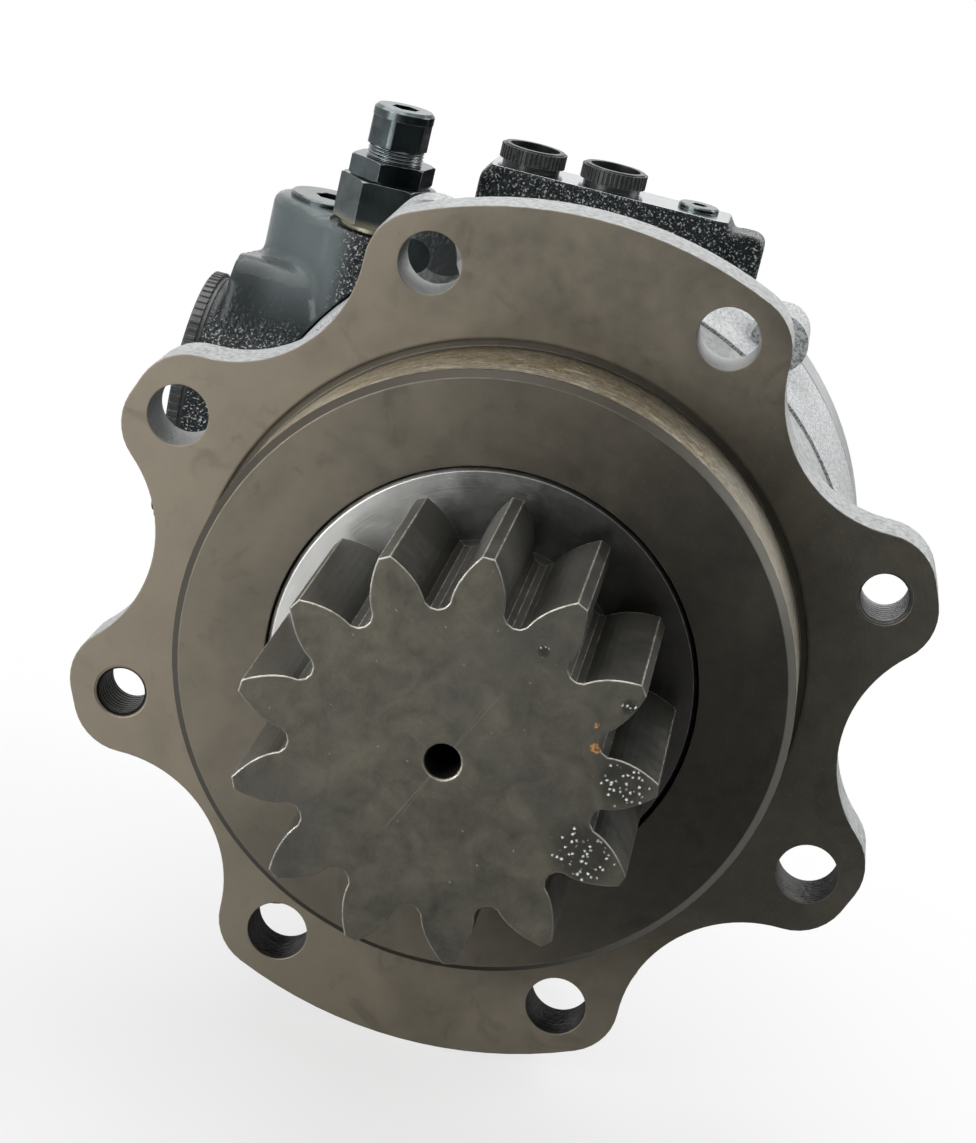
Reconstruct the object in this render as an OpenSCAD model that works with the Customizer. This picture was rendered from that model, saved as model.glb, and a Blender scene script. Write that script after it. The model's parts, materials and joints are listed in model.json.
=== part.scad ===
// Swing motor of a small excavator: pinion, planetary reduction, axial piston motor,
// parking brake and valve head. The drive axis is Y, the origin is the middle of the
// flange's mounting face, the pinion reaches to -Y and the top ports look to +Z.

/* [Flange] */
// Diameter of the flange before its scallops are cut
flange_d = 254; // [248:1:262]
// Thickness of the flange
flange_t = 18.3; // [14:0.1:22]
// Diameter of the circle on which the mounting holes lie
bolt_circle_d = 224.4; // [220:0.2:228]
// Diameter of each clearance hole for a mounting bolt
bolt_hole_d = 18; // [14:0.5:20]
// Minor diameter of each tapped jacking hole
jack_hole_d = 13.84; // [10:0.02:15]
// Number of holes on the bolt circle, two of which are tapped
flange_holes = 8; // [8:1:8]
// Radius of each scallop between two holes
scallop_r = 38.5; // [34:0.5:42]
// Distance from the axis to the centre of each scallop
scallop_offset = 141; // [138:0.5:146]
// Corner radius of the lobe round each hole
lobe_r = 16; // [10:0.5:20]

/* [Pilot boss] */
// Diameter of the pilot boss that locates the flange
pilot_d = 175; // [168:1:182]
// Height of the pilot boss in front of the flange
pilot_h = 33; // [28:0.5:40]
// Chamfer of the front edge of the pilot boss
pilot_chamfer = 2.2; // [0.5:0.1:4]
// Width of the relief groove round the foot of the boss
relief_w = 2.2; // [1:0.1:4]
// Depth of the relief groove
relief_depth = 1.2; // [0.5:0.1:3]

/* [Pinion] */
// Number of pinion teeth
pinion_teeth = 13; // [12:1:14]
// Module of the pinion
pinion_module = 7; // [6.5:0.1:7.2]
// Profile shift of the pinion, in modules
pinion_shift = 0.5; // [0.3:0.05:0.6]
// Width of the pinion's teeth
pinion_w = 62.3; // [45:0.5:66]
// Distance from the flange face to the front of the pinion
pinion_reach = 103.3; // [100:0.5:115]
// Height taken off each tooth tip
tip_cut = 0.7; // [0:0.1:1.2]
// Angle by which the top tooth stands off the vertical
pinion_turn = 0.7; // [0:0.1:2]
// Diameter of the centre hole in the pinion's face
centre_hole_d = 9.4; // [6:0.2:14]
// Depth of the centre hole
centre_hole_depth = 26; // [10:1:40]

/* [Housings] */
// Distance from the flange face to the first joint
housing_len = 60; // [58:0.5:64]
// Outer diameter of the housing behind the flange
neck_d = 200.4; // [196:0.2:204]
// Length of the motor casing
casing_len = 69; // [68:0.5:74]
// Outer diameter of the casing and the brake housing
casing_d = 203.6; // [201:0.2:208]
// Length of the brake housing
brake_housing_len = 23; // [21:0.5:26]
// Length of the round body of the valve head
head_len = 48; // [45:0.5:60]
// Width of the groove that shows at a joint
joint_groove_w = 1.4; // [0.5:0.1:3]
// Depth of the groove that shows at a joint
joint_groove_depth = 1.5; // [0.5:0.1:3]

/* [Casing ears] */
// Angle of the ears from the vertical
ear_angle = 28; // [25:0.5:31]
// Distance from the axis to the middle of an ear
ear_offset = 110.5; // [108:0.5:113]
// Radius of an ear
ear_r = 13; // [11:0.5:15]
// Length of the ear on the flange housing
front_ear_len = 26; // [18:0.5:36]
// Length of the ear on the motor casing
rear_ear_len = 15; // [10:0.5:20]
// Diameter of the screws through the ears
ear_screw_d = 12; // [8:0.5:12]

/* [Output bearings] */
// Bore of the front bearing
front_bearing_d = 75; // [70:1:78]
// Outer diameter of the front bearing
front_bearing_od = 115; // [110:1:119]
// Width of the front bearing
front_bearing_w = 25; // [22:0.5:26]
// Bore of the rear bearing
rear_bearing_d = 55; // [52:1:58]
// Outer diameter of the rear bearing
rear_bearing_od = 90; // [86:1:96]
// Width of the rear bearing
rear_bearing_w = 27; // [24:0.5:28]
// Rollers in the front bearing
front_rollers = 24; // [18:1:24]
// Rollers in the rear bearing
rear_rollers = 22; // [16:1:22]
// Tilt of the rollers
roller_angle = 14; // [10:0.5:16]
// Thickness of the wall between the two bearings
bearing_web_t = 5; // [3:0.5:6]

/* [Seal and collar] */
// Diameter of the ground collar behind the pinion
collar_d = 120.6; // [118:0.2:126]
// Radial gap between the collar and the boss
collar_gap = 0.6; // [0.4:0.1:1.5]
// Thickness of the collar's disc
collar_t = 4; // [2.5:0.5:6]
// Depth of the collar's face below the face of the boss
collar_recess = 0.4; // [0:0.1:2]
// Outer diameter of the collar's sleeve, on which the seal runs
sleeve_d = 92; // [86:1:98]
// Width of the oil seal
seal_w = 12; // [8:0.5:13]

/* [Planetary stage] */
// Module of the planetary gears
gear_module = 2.5; // [2.4:0.02:2.54]
// Teeth of the sun gear
sun_teeth = 18; // [18:3:18]
// Teeth of each planet gear
planet_teeth = 21; // [21:3:21]
// Width of the planet gears
planet_w = 16; // [12:0.5:17]
// Outer diameter of the ring gear
ring_gear_d = 176; // [172:1:180]
// Width of the ring gear
ring_gear_w = 26; // [25:0.5:27]
// Thickness taken off each tooth for backlash
backlash = 0.14; // [0.1:0.02:0.3]
// Number of planets
planets = 3; // [3:1:3]
// Diameter of the planet pins
planet_pin_d = 20; // [16:0.5:22]
// Wall of the bronze bush in each planet
planet_bush_t = 3; // [2:0.25:4]
// Thickness of the carrier plate
carrier_t = 9; // [7:0.5:10]
// Diameter of the carrier plate
carrier_d = 142; // [136:1:143]

/* [Piston motor] */
// Angle of the swash plate
swash_angle = 12; // [9:0.5:13]
// Diameter of the swash plate
swash_d = 84; // [80:1:90]
// Thinnest edge of the swash plate
swash_min_t = 3.4; // [2:0.1:5]
// Diameter of the circle of pistons
piston_circle_d = 54; // [52:0.5:56]
// Number of pistons
pistons_n = 9; // [7:2:9]
// Diameter of each piston
piston_d = 15; // [12:0.5:15]
// Diameter of the cylinder block
block_d = 77; // [75:0.5:78]
// Length of the cylinder block
block_len = 38; // [34:0.5:40]
// Diameter of the motor shaft in the cylinder block
motor_shaft_d = 25; // [23:0.5:25]
// Diameter of each shoe's running face
shoe_d = 17; // [14:0.5:17.5]
// Thickness of a shoe's running flange
shoe_t = 4; // [3:0.25:5]
// Distance from the running face to the middle of the shoe's ball socket
shoe_socket_h = 8; // [7:0.25:9]
// Thickness of the retainer plate
retainer_t = 3; // [2:0.25:3.5]
// Thickness of the valve plate
valve_plate_t = 4; // [3:0.25:6]

/* [Parking brake] */
// Number of friction discs
brake_discs = 3; // [2:1:3]
// Thickness of each friction disc and each steel plate
brake_disc_t = 1.6; // [1:0.1:1.7]
// Outer diameter of the friction discs
friction_d = 118; // [110:1:122]
// Width of the shoulder between steel plates and brake piston bore
plate_land = 8; // [7:0.5:9]
// Travel of the brake piston when the brake lets go
brake_travel = 1.5; // [0.5:0.1:2]
// Wall between the brake piston and the outside of the head
brake_wall = 25; // [24:0.5:28]
// Length of the brake piston
brake_piston_len = 15; // [12:0.5:16]
// Number of brake springs
brake_springs_n = 10; // [6:1:12]

/* [Top ports] */
// Width of the pad that carries the top ports
pad_w = 84; // [78:1:90]
// Depth of the pad along the drive axis
pad_depth = 19; // [17:0.5:24]
// Height of the pad's top above the round head
pad_rise = 12; // [9:0.5:17]
// Distance from the drive axis to the left end of the pad
pad_left = 50; // [46:1:54]
// Distance between the two top ports
port_pitch = 27.4; // [25:0.2:30]
// Distance from the left end of the pad to the first port
port_inset = 14.8; // [13:0.2:17]
// Minor diameter of the thread in each top port
port_d = 14.95; // [11:0.05:16]
// Outer diameter of each knurled transit cap
port_cap_d = 22; // [19:0.5:24]
// Height of each transit cap above the pad
port_cap_h = 6.8; // [5:0.2:10]

/* [Side port] */
// Height of the side port above the drive axis
side_port_z = 25; // [22:0.5:29]
// Distance from the drive axis to the face of the side port
side_port_x = 121; // [118:0.5:125]
// Minor diameter of the thread in the side port
side_port_d = 30.3; // [24:0.1:34]
// Outer diameter of the side port's transit cap
side_cap_d = 65; // [60:0.5:68]
// Height of the side port's cap
side_cap_h = 5; // [4:0.5:8]
// Distance from the flange face to the axis of the side port
side_port_y = 130; // [128:0.5:134]

/* [Relief valve] */
// Distance of the relief valve to the left of the drive axis
relief_x = 74.5; // [72:0.5:77]
// Distance from the flange face to the axis of the relief valve
relief_y = 121; // [119:0.5:123]
// Height of the seat of the relief valve
relief_z = 85.6; // [84:0.2:86.5]
// Width across flats of the relief valve's body
relief_af = 27; // [24:0.5:28]
// Height of the relief valve's body above its seat
relief_h = 17; // [14:0.5:20]
// Width across flats of the lock nut
lock_nut_af = 24; // [20:0.5:24]
// Height of the lock nut
lock_nut_h = 6.5; // [5:0.5:8]
// Diameter of the adjusting screw's thread
adjuster_d = 18; // [15:0.5:19]
// Diameter of the adjusting screw's cap
adjuster_cap_d = 19.4; // [19:0.2:22]
// Height of the adjusting screw's cap
adjuster_cap_h = 12.6; // [9:0.2:16]
// Length of thread that shows between nut and cap
adjuster_thread_h = 4.2; // [2:0.2:6]

/* [Check valve plug] */
// Distance of the plug to the left of the drive axis
check_x = 94.6; // [94:0.2:97]
// Distance from the flange face to the axis of the plug
check_y = 143.5; // [143:0.5:147]
// Height of the cast face that the plug sits on
check_z = 86.6; // [86.6:0.2:88]
// Diameter of the plug's head
check_head_d = 27; // [24:0.5:27]
// Height of the plug's head above the casting
check_head_h = 2.2; // [1.5:0.1:4]

/* [Screws] */
// Number of screws that hold the head
head_screws_n = 8; // [6:1:8]
// From the outside of the head to its circle of screws
head_screw_inset = 12; // [11:0.5:13]
// Diameter of each head screw
head_screw_d = 10; // [8:0.5:11]

/* [Hidden] */

// Clearances and the overrun of every cut
fit = 0.05;
gap = 0.3;
over = 1;
fine = 96;
$fn = 64;

// Pressure angle and profile steps of every gear
pressure_angle = 20;
flank_steps = 6;
root_steps = 6;

// Stations along the drive axis
y_joint1 = housing_len;
y_joint2 = y_joint1 + casing_len;
y_joint3 = y_joint2 + brake_housing_len;
y_end = y_joint3 + head_len;
collar_y = -pilot_h + collar_recess;
seal_clear = 2.6;
front_bearing_y = collar_y + collar_t + seal_clear + seal_w;
front_bearing_end = front_bearing_y + front_bearing_w;
rear_bearing_y = front_bearing_end + bearing_web_t;
rear_bearing_end = rear_bearing_y + rear_bearing_w;
nut_t = 7;
nut_end = rear_bearing_end + nut_t;
hub_gap = 0.5;
hub_y = nut_end + hub_gap;
carrier_gap = 1;
planet_y = y_joint1 + 7 * carrier_gap;
carrier_y = planet_y - carrier_gap - carrier_t;
washer_t = carrier_gap - gap;
planet_end = planet_y + planet_w;
ring_end = y_joint1 + ring_gear_w;
web_y = ring_end + 2 * carrier_gap;

// Radii
flange_r = flange_d / 2;
bolt_circle_r = bolt_circle_d / 2;
hole_step = 360 / flange_holes;
first_hole = hole_step / 2;
pilot_r = pilot_d / 2;
collar_bore_r = collar_d / 2 + collar_gap;
neck_r = neck_d / 2;
casing_r = casing_d / 2;
mouth_chamfer = 1.1;
edge_chamfer = 1;

// Flange outline: the lobe corners are tangent to the rim and to the scallops
lobe_centre_r = flange_r - lobe_r;
lobe_phi = acos((scallop_offset ^ 2 + lobe_centre_r ^ 2 - (scallop_r + lobe_r) ^ 2)
    / (2 * scallop_offset * lobe_centre_r));
lobe_psi = atan2(lobe_centre_r * sin(lobe_phi), scallop_offset - lobe_centre_r * cos(lobe_phi));
scallop_angles = [0, 45, 135, 180, 225, 315];

function polar(r, a) = [r * cos(a), r * sin(a)];
function arc(centre, r, a0, a1, n) =
    [for (i = [0:n]) centre + polar(r, a0 + (a1 - a0) * i / n)];
function scallop_points(a) = concat(
    arc(polar(lobe_centre_r, a - lobe_phi), lobe_r, a - lobe_phi, a + lobe_psi, 7),
    arc(polar(scallop_offset, a), scallop_r, a + 180 + lobe_psi, a + 180 - lobe_psi, 22),
    arc(polar(lobe_centre_r, a + lobe_phi), lobe_r, a - lobe_psi, a + lobe_phi, 7));
function rim_points(a0, a1) = a1 - a0 > hole_step / 4
    ? [for (t = [a0 + 3 : 3 : a1 - 2]) polar(flange_r, t)] : [];
flange_points = [for (i = [0:5])
    let (a = scallop_angles[i], b = i < 5 ? scallop_angles[i + 1] : 360)
    each concat(scallop_points(a), rim_points(a + lobe_phi, b - lobe_phi))];

// Involute tooth: half of its angle at radius r, for module m, z teeth and shift x
function involute(a) = tan(a) - a * PI / 180;
function base_r(m, z) = m * z / 2 * cos(pressure_angle);
function half_tooth(r, m, z, x, thin) =
    ((m * (PI / 2 + 2 * x * tan(pressure_angle)) - thin) / (m * z) + involute(pressure_angle)
    - involute(acos(min(1, base_r(m, z) / r)))) * 180 / PI;
function half_space(r, m, z, x, thin) = r * sin(180 / z - half_tooth(r, m, z, x, thin));
function tooth(a, r0, r1, m, z, x, thin) = concat(
    [for (i = [0:flank_steps]) let (r = r0 + (r1 - r0) * i / flank_steps)
        polar(r, a - half_tooth(r, m, z, x, thin))],
    [for (i = [0:flank_steps]) let (r = r1 - (r1 - r0) * i / flank_steps)
        polar(r, a + half_tooth(r, m, z, x, thin))]);
function root_arc(a, centre_r, rho) = [for (i = [1:root_steps - 1])
    let (f = 180 * i / root_steps, u = centre_r - rho * sin(f), t = -rho * cos(f))
    [u * cos(a) - t * sin(a), u * sin(a) + t * cos(a)]];

// Outline of a gear whose roots are round
function round_root_gear(m, z, x, thin, tip, root, turn) =
    let (rho1 = half_space(root + m / 2, m, z, x, thin),
        rho = half_space(root + rho1, m, z, x, thin))
    [for (k = [0:z - 1]) let (a = turn + 360 * k / z)
        each concat(tooth(a, root + rho, tip, m, z, x, thin),
            root_arc(a + 180 / z, root + rho, rho))];
// Outline of the space inside a ring gear, whose tooth tips are flat
function ring_space(m, z, thin, tip, root, turn) =
    [for (k = [0:z - 1]) each tooth(turn + 360 * k / z, root, tip, m, z, 0, thin)];
// Outline with straight-sided splines
function spline_points(r0, r1, n) = [for (k = [0:n - 1]) let (a = 360 * k / n, s = 90 / n)
    each [polar(r0, a - 1.15 * s), polar(r1, a - 0.85 * s), polar(r1, a + 0.85 * s),
        polar(r0, a + 1.15 * s)]];
function knurl_points(r, depth, n) = [for (k = [0:n - 1]) let (a = 360 * k / n, s = 180 / n)
    each [polar(r - depth, a - 0.5 * s), polar(r, a - 0.3 * s), polar(r, a + 0.3 * s),
        polar(r - depth, a + 0.5 * s)]];

pitch_r = pinion_module * pinion_teeth / 2;
pinion_tip_r = pitch_r + pinion_module * (1 + pinion_shift) - tip_cut;
dedendum = 1.25;
pinion_root_r = pitch_r - pinion_module * (dedendum - pinion_shift);

// Turned about the drive axis from points [radius, y]
module turned(points) {
    rotate([-90, 0, 0]) rotate_extrude($fn = fine) polygon(points);
}
module ring(r_in, r_out, y0, y1) {
    turned([[r_in, y0], [r_out, y0], [r_out, y1], [r_in, y1]]);
}
module rod(r, y0, y1, x = 0, z = 0) {
    translate([x, y0, z]) rotate([-90, 0, 0]) cylinder(h = y1 - y0, r = r);
}
module post(r, z0, z1, x = 0, y = 0) {
    translate([x, y, z0]) cylinder(h = z1 - z0, r = r);
}
module bar(r, x0, x1, y = 0, z = 0) {
    translate([x0, y, z]) rotate([0, 90, 0]) cylinder(h = x1 - x0, r = r);
}
module slab(y0, y1) {
    translate([0, y1, 0]) rotate([90, 0, 0]) linear_extrude(y1 - y0) children();
}
module block_between(a, b) {
    translate(a) cube(b - a);
}
module hexagon(af) {
    circle(r = af / 2 / cos(30), $fn = 6);
}

// Places of the three ears, of the head screws and of the dowels
ear_angles = [90 + ear_angle, 270 - ear_angle, 270 + ear_angle];
module at_ears() {
    for (a = ear_angles) translate([ear_offset * cos(a), 0, ear_offset * sin(a)]) children();
}
module ears(y0, y1) {
    for (a = ear_angles) rotate([0, -a, 0]) {
        rod(ear_r, y0, y1, ear_offset);
        block_between([neck_r - 3 * over, y0, edge_chamfer - ear_r], [ear_offset, y1, ear_r - edge_chamfer]);
    }
}
module at_circle(r, n, first = 0) {
    for (k = [0:n - 1]) let (a = first + 360 * k / n)
        translate([r * cos(a), 0, r * sin(a)]) children();
}

// Flange housing: flange, pilot boss, bearing bores and the round neck
front_bearing_bore_r = front_bearing_od / 2 + fit;
rear_bearing_bore_r = rear_bearing_od / 2 + fit;
bearing_lip = 6;
cavity_r = carrier_d / 2 + 3;
cavity_y = rear_bearing_end + 3;
ear_screw_r = ear_screw_d / 2;
tap_share = 0.425;
neck_blend = 1.8;
o_ring_r = 1.3;
o_ring_seat_r = 93;
dowel_r = 3;
dowel_circle_r = 84;
dowel_len = 12;
dowel_first = 20;

module flange_housing() {
    ear_y = y_joint1 - front_ear_len;
    color("#77736a") difference() {
        union() {
            slab(0, flange_t) polygon(flange_points);
            turned([[0, -pilot_h], [pilot_r - pilot_chamfer, -pilot_h],
                [pilot_r, -pilot_h + pilot_chamfer], [pilot_r, over], [0, over]]);
            turned([[0, flange_t - over], [neck_r + neck_blend, flange_t - over],
                [neck_r + neck_blend, flange_t], [neck_r, flange_t + neck_blend],
                [neck_r, y_joint1 - joint_groove_w],
                [neck_r - joint_groove_depth, y_joint1 - joint_groove_w],
                [neck_r - joint_groove_depth, y_joint1], [0, y_joint1]]);
            ears(ear_y, y_joint1 - joint_groove_w);
        }
        ring(pilot_r, pilot_r + relief_w, -over, relief_depth);
        turned([[0, -pilot_h - over], [collar_bore_r, -pilot_h - over],
            [collar_bore_r, front_bearing_y], [front_bearing_bore_r, front_bearing_y],
            [front_bearing_bore_r, front_bearing_end],
            [rear_bearing_bore_r - bearing_lip, front_bearing_end],
            [rear_bearing_bore_r - bearing_lip, rear_bearing_y], [rear_bearing_bore_r, rear_bearing_y],
            [rear_bearing_bore_r, cavity_y], [cavity_r, cavity_y], [cavity_r, y_joint1 + over],
            [0, y_joint1 + over]]);
        for (k = [0:flange_holes - 1]) let (a = first_hole + hole_step * k, tapped = k % 4 == 0,
            r = tapped ? jack_hole_d / 2 : bolt_hole_d / 2)
            translate([bolt_circle_r * cos(a), 0, bolt_circle_r * sin(a)]) {
                rod(r, -over, flange_t + over);
                if (tapped) turned([[0, -over], [r + mouth_chamfer + over, -over],
                    [r, mouth_chamfer], [0, mouth_chamfer]]);
            }
        at_ears() rod(2 * tap_share * ear_screw_r, ear_y - over, y_joint1 + over);
        ring(o_ring_seat_r - o_ring_r, o_ring_seat_r + o_ring_r, y_joint1 - 2 * o_ring_r, y_joint1 + over);
        at_circle(dowel_circle_r, 2, dowel_first)
            rod(dowel_r + fit, y_joint1 - dowel_len / 2, y_joint1 + over);
    }
}

// Pinion shaft
shoulder_r = 40;
shaft_waist_r = 33;
nut_thread_r = 26;
tail_r = 24;
tail_root_r = 22;
tail_splines = 18;
tail_end = planet_y - 3 * carrier_gap;
thread_gap = 0.6;
module pinion_shaft() {
    front_y = -pinion_reach;
    back_y = front_y + pinion_w;
    color("#4b4a46") difference() {
        union() {
            slab(front_y, back_y) polygon(round_root_gear(pinion_module, pinion_teeth,
                pinion_shift, backlash, pinion_tip_r, pinion_root_r, 90 + pinion_turn));
            turned([[0, back_y - over], [shoulder_r, back_y - over], [shoulder_r, collar_y],
                [front_bearing_d / 2 - fit, collar_y],
                [front_bearing_d / 2 - fit, front_bearing_end], [shaft_waist_r, front_bearing_end],
                [shaft_waist_r, rear_bearing_y], [rear_bearing_d / 2 - fit, rear_bearing_y],
                [rear_bearing_d / 2 - fit, rear_bearing_end - edge_chamfer],
                [nut_thread_r, rear_bearing_end - edge_chamfer],
                [nut_thread_r, nut_end], [tail_root_r, nut_end], [tail_root_r, tail_end], [0, tail_end]]);
            slab(nut_end - over, tail_end) polygon(spline_points(tail_root_r - over, tail_r, tail_splines));
        }
        turned([[0, front_y - over], [centre_hole_d / 2 + over, front_y - over],
            [centre_hole_d / 2, front_y + edge_chamfer / 2],
            [centre_hole_d / 2, front_y + centre_hole_depth],
            [0, front_y + centre_hole_depth + centre_hole_d / 4]]);
    }
}

// Ground collar behind the pinion, with the sleeve that the seal runs on
module seal_collar() {
    r0 = front_bearing_d / 2;
    disc_r = collar_d / 2;
    color("#9a9b99") turned([[r0, collar_y], [disc_r - edge_chamfer, collar_y],
        [disc_r, collar_y + edge_chamfer], [disc_r, collar_y + collar_t],
        [sleeve_d / 2, collar_y + collar_t], [sleeve_d / 2, front_bearing_y], [r0, front_bearing_y]]);
}

// Lip seal between the sleeve and the housing
seal_wall = 2;
module oil_seal() {
    y1 = front_bearing_y;
    y0 = y1 - seal_w;
    r1 = collar_bore_r - fit;
    r0 = sleeve_d / 2 + fit;
    color("#3b2a22") turned([[r1, y0], [r1, y1], [r1 - seal_wall, y1], [r1 - seal_wall, y0 + seal_wall],
        [r0 + 2 * seal_wall, y0 + seal_wall], [r0 + 2 * seal_wall, y0 + seal_w / 2], [r0, y0 + seal_w / 3],
        [r0, y0 + seal_w / 4], [r0 + seal_wall, y0]]);
}

// Taper roller bearing, drawn with its wide end at height 0 and narrowing upwards
roller_share = 0.23;
roller_len_share = 0.7;
rib_share = 0.1;
cage_t = 1.6;
function race_mid(ri, ro) = (ri + ro) / 2;
function roller_r(ri, ro) = roller_share * (ro - ri);
function apex_h(ri, ro, w) = w / 2 + race_mid(ri, ro) / tan(roller_angle);
function roller_s(ri, ro) = race_mid(ri, ro) / sin(roller_angle);
function roller_delta(ri, ro) = atan(roller_r(ri, ro) / roller_s(ri, ro));
function cone_r(h, ri, ro, w) = (apex_h(ri, ro, w) - h) * tan(roller_angle - roller_delta(ri, ro)) - fit;
function cup_r(h, ri, ro, w) = (apex_h(ri, ro, w) - h) * tan(roller_angle + roller_delta(ri, ro)) + fit;
function cage_r(h, ri, ro, w) = (apex_h(ri, ro, w) - h) * tan(roller_angle);
module revolve(points) {
    rotate_extrude($fn = fine) polygon(points);
}
module bearing_cone(ri, ro, w) {
    rib = rib_share * w;
    rib_r = cone_r(rib, ri, ro, w) + roller_r(ri, ro) / 2;
    revolve([[ri, 0], [rib_r, 0], [rib_r, rib], [cone_r(rib, ri, ro, w), rib],
        [cone_r(w, ri, ro, w), w], [ri, w]]);
}
module bearing_cup(ri, ro, w) {
    h0 = rib_share * w;
    revolve([[ro, h0], [ro, w], [cup_r(w, ri, ro, w), w], [cup_r(h0, ri, ro, w), h0]]);
}
module bearing_rollers(ri, ro, w, n, grow = 0) {
    s = roller_s(ri, ro);
    len = roller_len_share * w + 2 * grow;
    r = roller_r(ri, ro);
    for (k = [0:n - 1]) rotate(360 * k / n) translate([0, 0, apex_h(ri, ro, w)])
        rotate([0, 180 - roller_angle, 0]) translate([0, 0, s - len / 2])
            cylinder(h = len, r1 = r * (1 - len / 2 / s) + grow,
                r2 = r * (1 + len / 2 / s) + grow, $fn = 24);
}
module bearing_cage(ri, ro, w, n) {
    h0 = rib_share * w / 2;
    h1 = w - h0;
    difference() {
        revolve([[cage_r(h0, ri, ro, w) - cage_t / 2, h0], [cage_r(h0, ri, ro, w) + cage_t / 2, h0],
            [cage_r(h1, ri, ro, w) + cage_t / 2, h1], [cage_r(h1, ri, ro, w) - cage_t / 2, h1]]);
        bearing_rollers(ri, ro, w, n, gap);
    }
}
// The front bearing narrows towards +Y, the rear one towards -Y
module place_front() {
    translate([0, front_bearing_y, 0]) rotate([-90, 0, 0]) children();
}
module place_rear() {
    translate([0, rear_bearing_end, 0]) rotate([90, 0, 0]) children();
}
fb_i = front_bearing_d / 2;
fb_o = front_bearing_od / 2;
rb_i = rear_bearing_d / 2;
rb_o = rear_bearing_od / 2;
module front_bearing_cup() {
    color("#b9bcc0") place_front() bearing_cup(fb_i, fb_o, front_bearing_w);
}
module front_bearing_cone() {
    color("#b9bcc0") place_front() bearing_cone(fb_i, fb_o, front_bearing_w);
}
module front_bearing_rollers() {
    color("#c9ccd0") place_front() bearing_rollers(fb_i, fb_o, front_bearing_w, front_rollers);
}
module front_bearing_cage() {
    color("#9d8a55") place_front() bearing_cage(fb_i, fb_o, front_bearing_w, front_rollers);
}
module rear_bearing_cup() {
    color("#b9bcc0") place_rear() bearing_cup(rb_i, rb_o, rear_bearing_w);
}
module rear_bearing_cone() {
    color("#b9bcc0") place_rear() bearing_cone(rb_i, rb_o, rear_bearing_w);
}
module rear_bearing_rollers() {
    color("#c9ccd0") place_rear() bearing_rollers(rb_i, rb_o, rear_bearing_w, rear_rollers);
}
module rear_bearing_cage() {
    color("#9d8a55") place_rear() bearing_cage(rb_i, rb_o, rear_bearing_w, rear_rollers);
}

// Slotted nut that preloads the two bearings
nut_r = 38;
nut_slots = 4;
nut_slot_w = 7;
nut_slot_depth = 4;
module bearing_nut() {
    color("#6f7173") difference() {
        ring(nut_thread_r + fit, nut_r, rear_bearing_end, nut_end);
        for (k = [0:nut_slots - 1]) rotate([0, 360 * k / nut_slots, 0])
            translate([nut_r - nut_slot_depth, rear_bearing_end - over, -nut_slot_w / 2])
                cube([nut_slot_depth + over, nut_t + 2 * over, nut_slot_w]);
    }
}

// Planet carrier on the splined tail of the pinion shaft
planet_circle_r = gear_module * (sun_teeth + planet_teeth) / 2;
ring_teeth = sun_teeth + 2 * planet_teeth;
planet_angles = [90, 210, 330];
planet_pin_r = planet_pin_d / 2;
hub_r = 34;
carrier_bore_r = 60;
pin_end = planet_end + 2 * carrier_gap;
module at_planets() {
    for (a = planet_angles) translate([planet_circle_r * cos(a), 0, planet_circle_r * sin(a)]) children();
}
module planet_carrier() {
    color("#8b8d8f") difference() {
        union() {
            rod(hub_r, hub_y, carrier_y + over, $fn = fine);
            rod(carrier_d / 2, carrier_y, carrier_y + carrier_t, $fn = fine);
        }
        slab(hub_y - over, carrier_y + carrier_t + over)
            polygon(spline_points(tail_root_r + 2 * fit, tail_r + 2 * fit, tail_splines));
        at_planets() rod(planet_pin_r + fit, carrier_y - over, carrier_y + carrier_t + over);
    }
}
pin_ring_groove = 0.8;
pin_ring_t = 1.2;
module planet_pins() {
    color("#b4b6b9") at_planets() difference() {
        rod(planet_pin_r, carrier_y, pin_end);
        translate([0, planet_end + carrier_gap, 0])
            ring(planet_pin_r - pin_ring_groove, planet_pin_r + over, -pin_ring_t / 2, pin_ring_t / 2);
    }
}
module planet_pin_rings() {
    y0 = planet_end + carrier_gap - pin_ring_t / 2 + fit;
    color("#4a4c4e") at_planets() difference() {
        ring(planet_pin_r - pin_ring_groove + fit, planet_pin_r + 2 * pin_ring_groove,
            y0, y0 + pin_ring_t - 2 * fit);
        translate([0, y0 - over, -planet_pin_r / 4])
            cube([planet_pin_r + over + 2 * pin_ring_groove, pin_ring_t + 2 * over, planet_pin_r / 2]);
    }
}
module planet_washers() {
    color("#c08a4a") at_planets() ring(planet_pin_r + fit, planet_pin_r + 2 * planet_bush_t,
        carrier_y + carrier_t, carrier_y + carrier_t + washer_t);
}

// The planets' gears, each with its bush
planet_root_r = gear_module * (planet_teeth / 2 - dedendum);
planet_tip_r = gear_module * (planet_teeth / 2 + 1);
bush_r = planet_pin_r + fit + planet_bush_t;
module at_planet(k) {
    a = planet_angles[k];
    translate([planet_circle_r * cos(a), 0, planet_circle_r * sin(a)]) rotate([0, -a, 0]) children();
}
module planet_gear(k) {
    color("#a5a7a9") at_planet(k) difference() {
        slab(planet_y, planet_end) polygon(round_root_gear(gear_module, planet_teeth, 0, backlash,
            planet_tip_r, planet_root_r, 0));
        rod(bush_r + fit, planet_y - over, planet_end + over);
    }
}
module planet_bush(k) {
    color("#b98545") at_planet(k) ring(planet_pin_r + fit, bush_r, planet_y, planet_end);
}
module planet_gear_1() { planet_gear(0); }
module planet_gear_2() { planet_gear(1); }
module planet_gear_3() { planet_gear(2); }
module planet_bushes_1() { planet_bush(0); }
module planet_bushes_2() { planet_bush(1); }
module planet_bushes_3() { planet_bush(2); }

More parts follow.
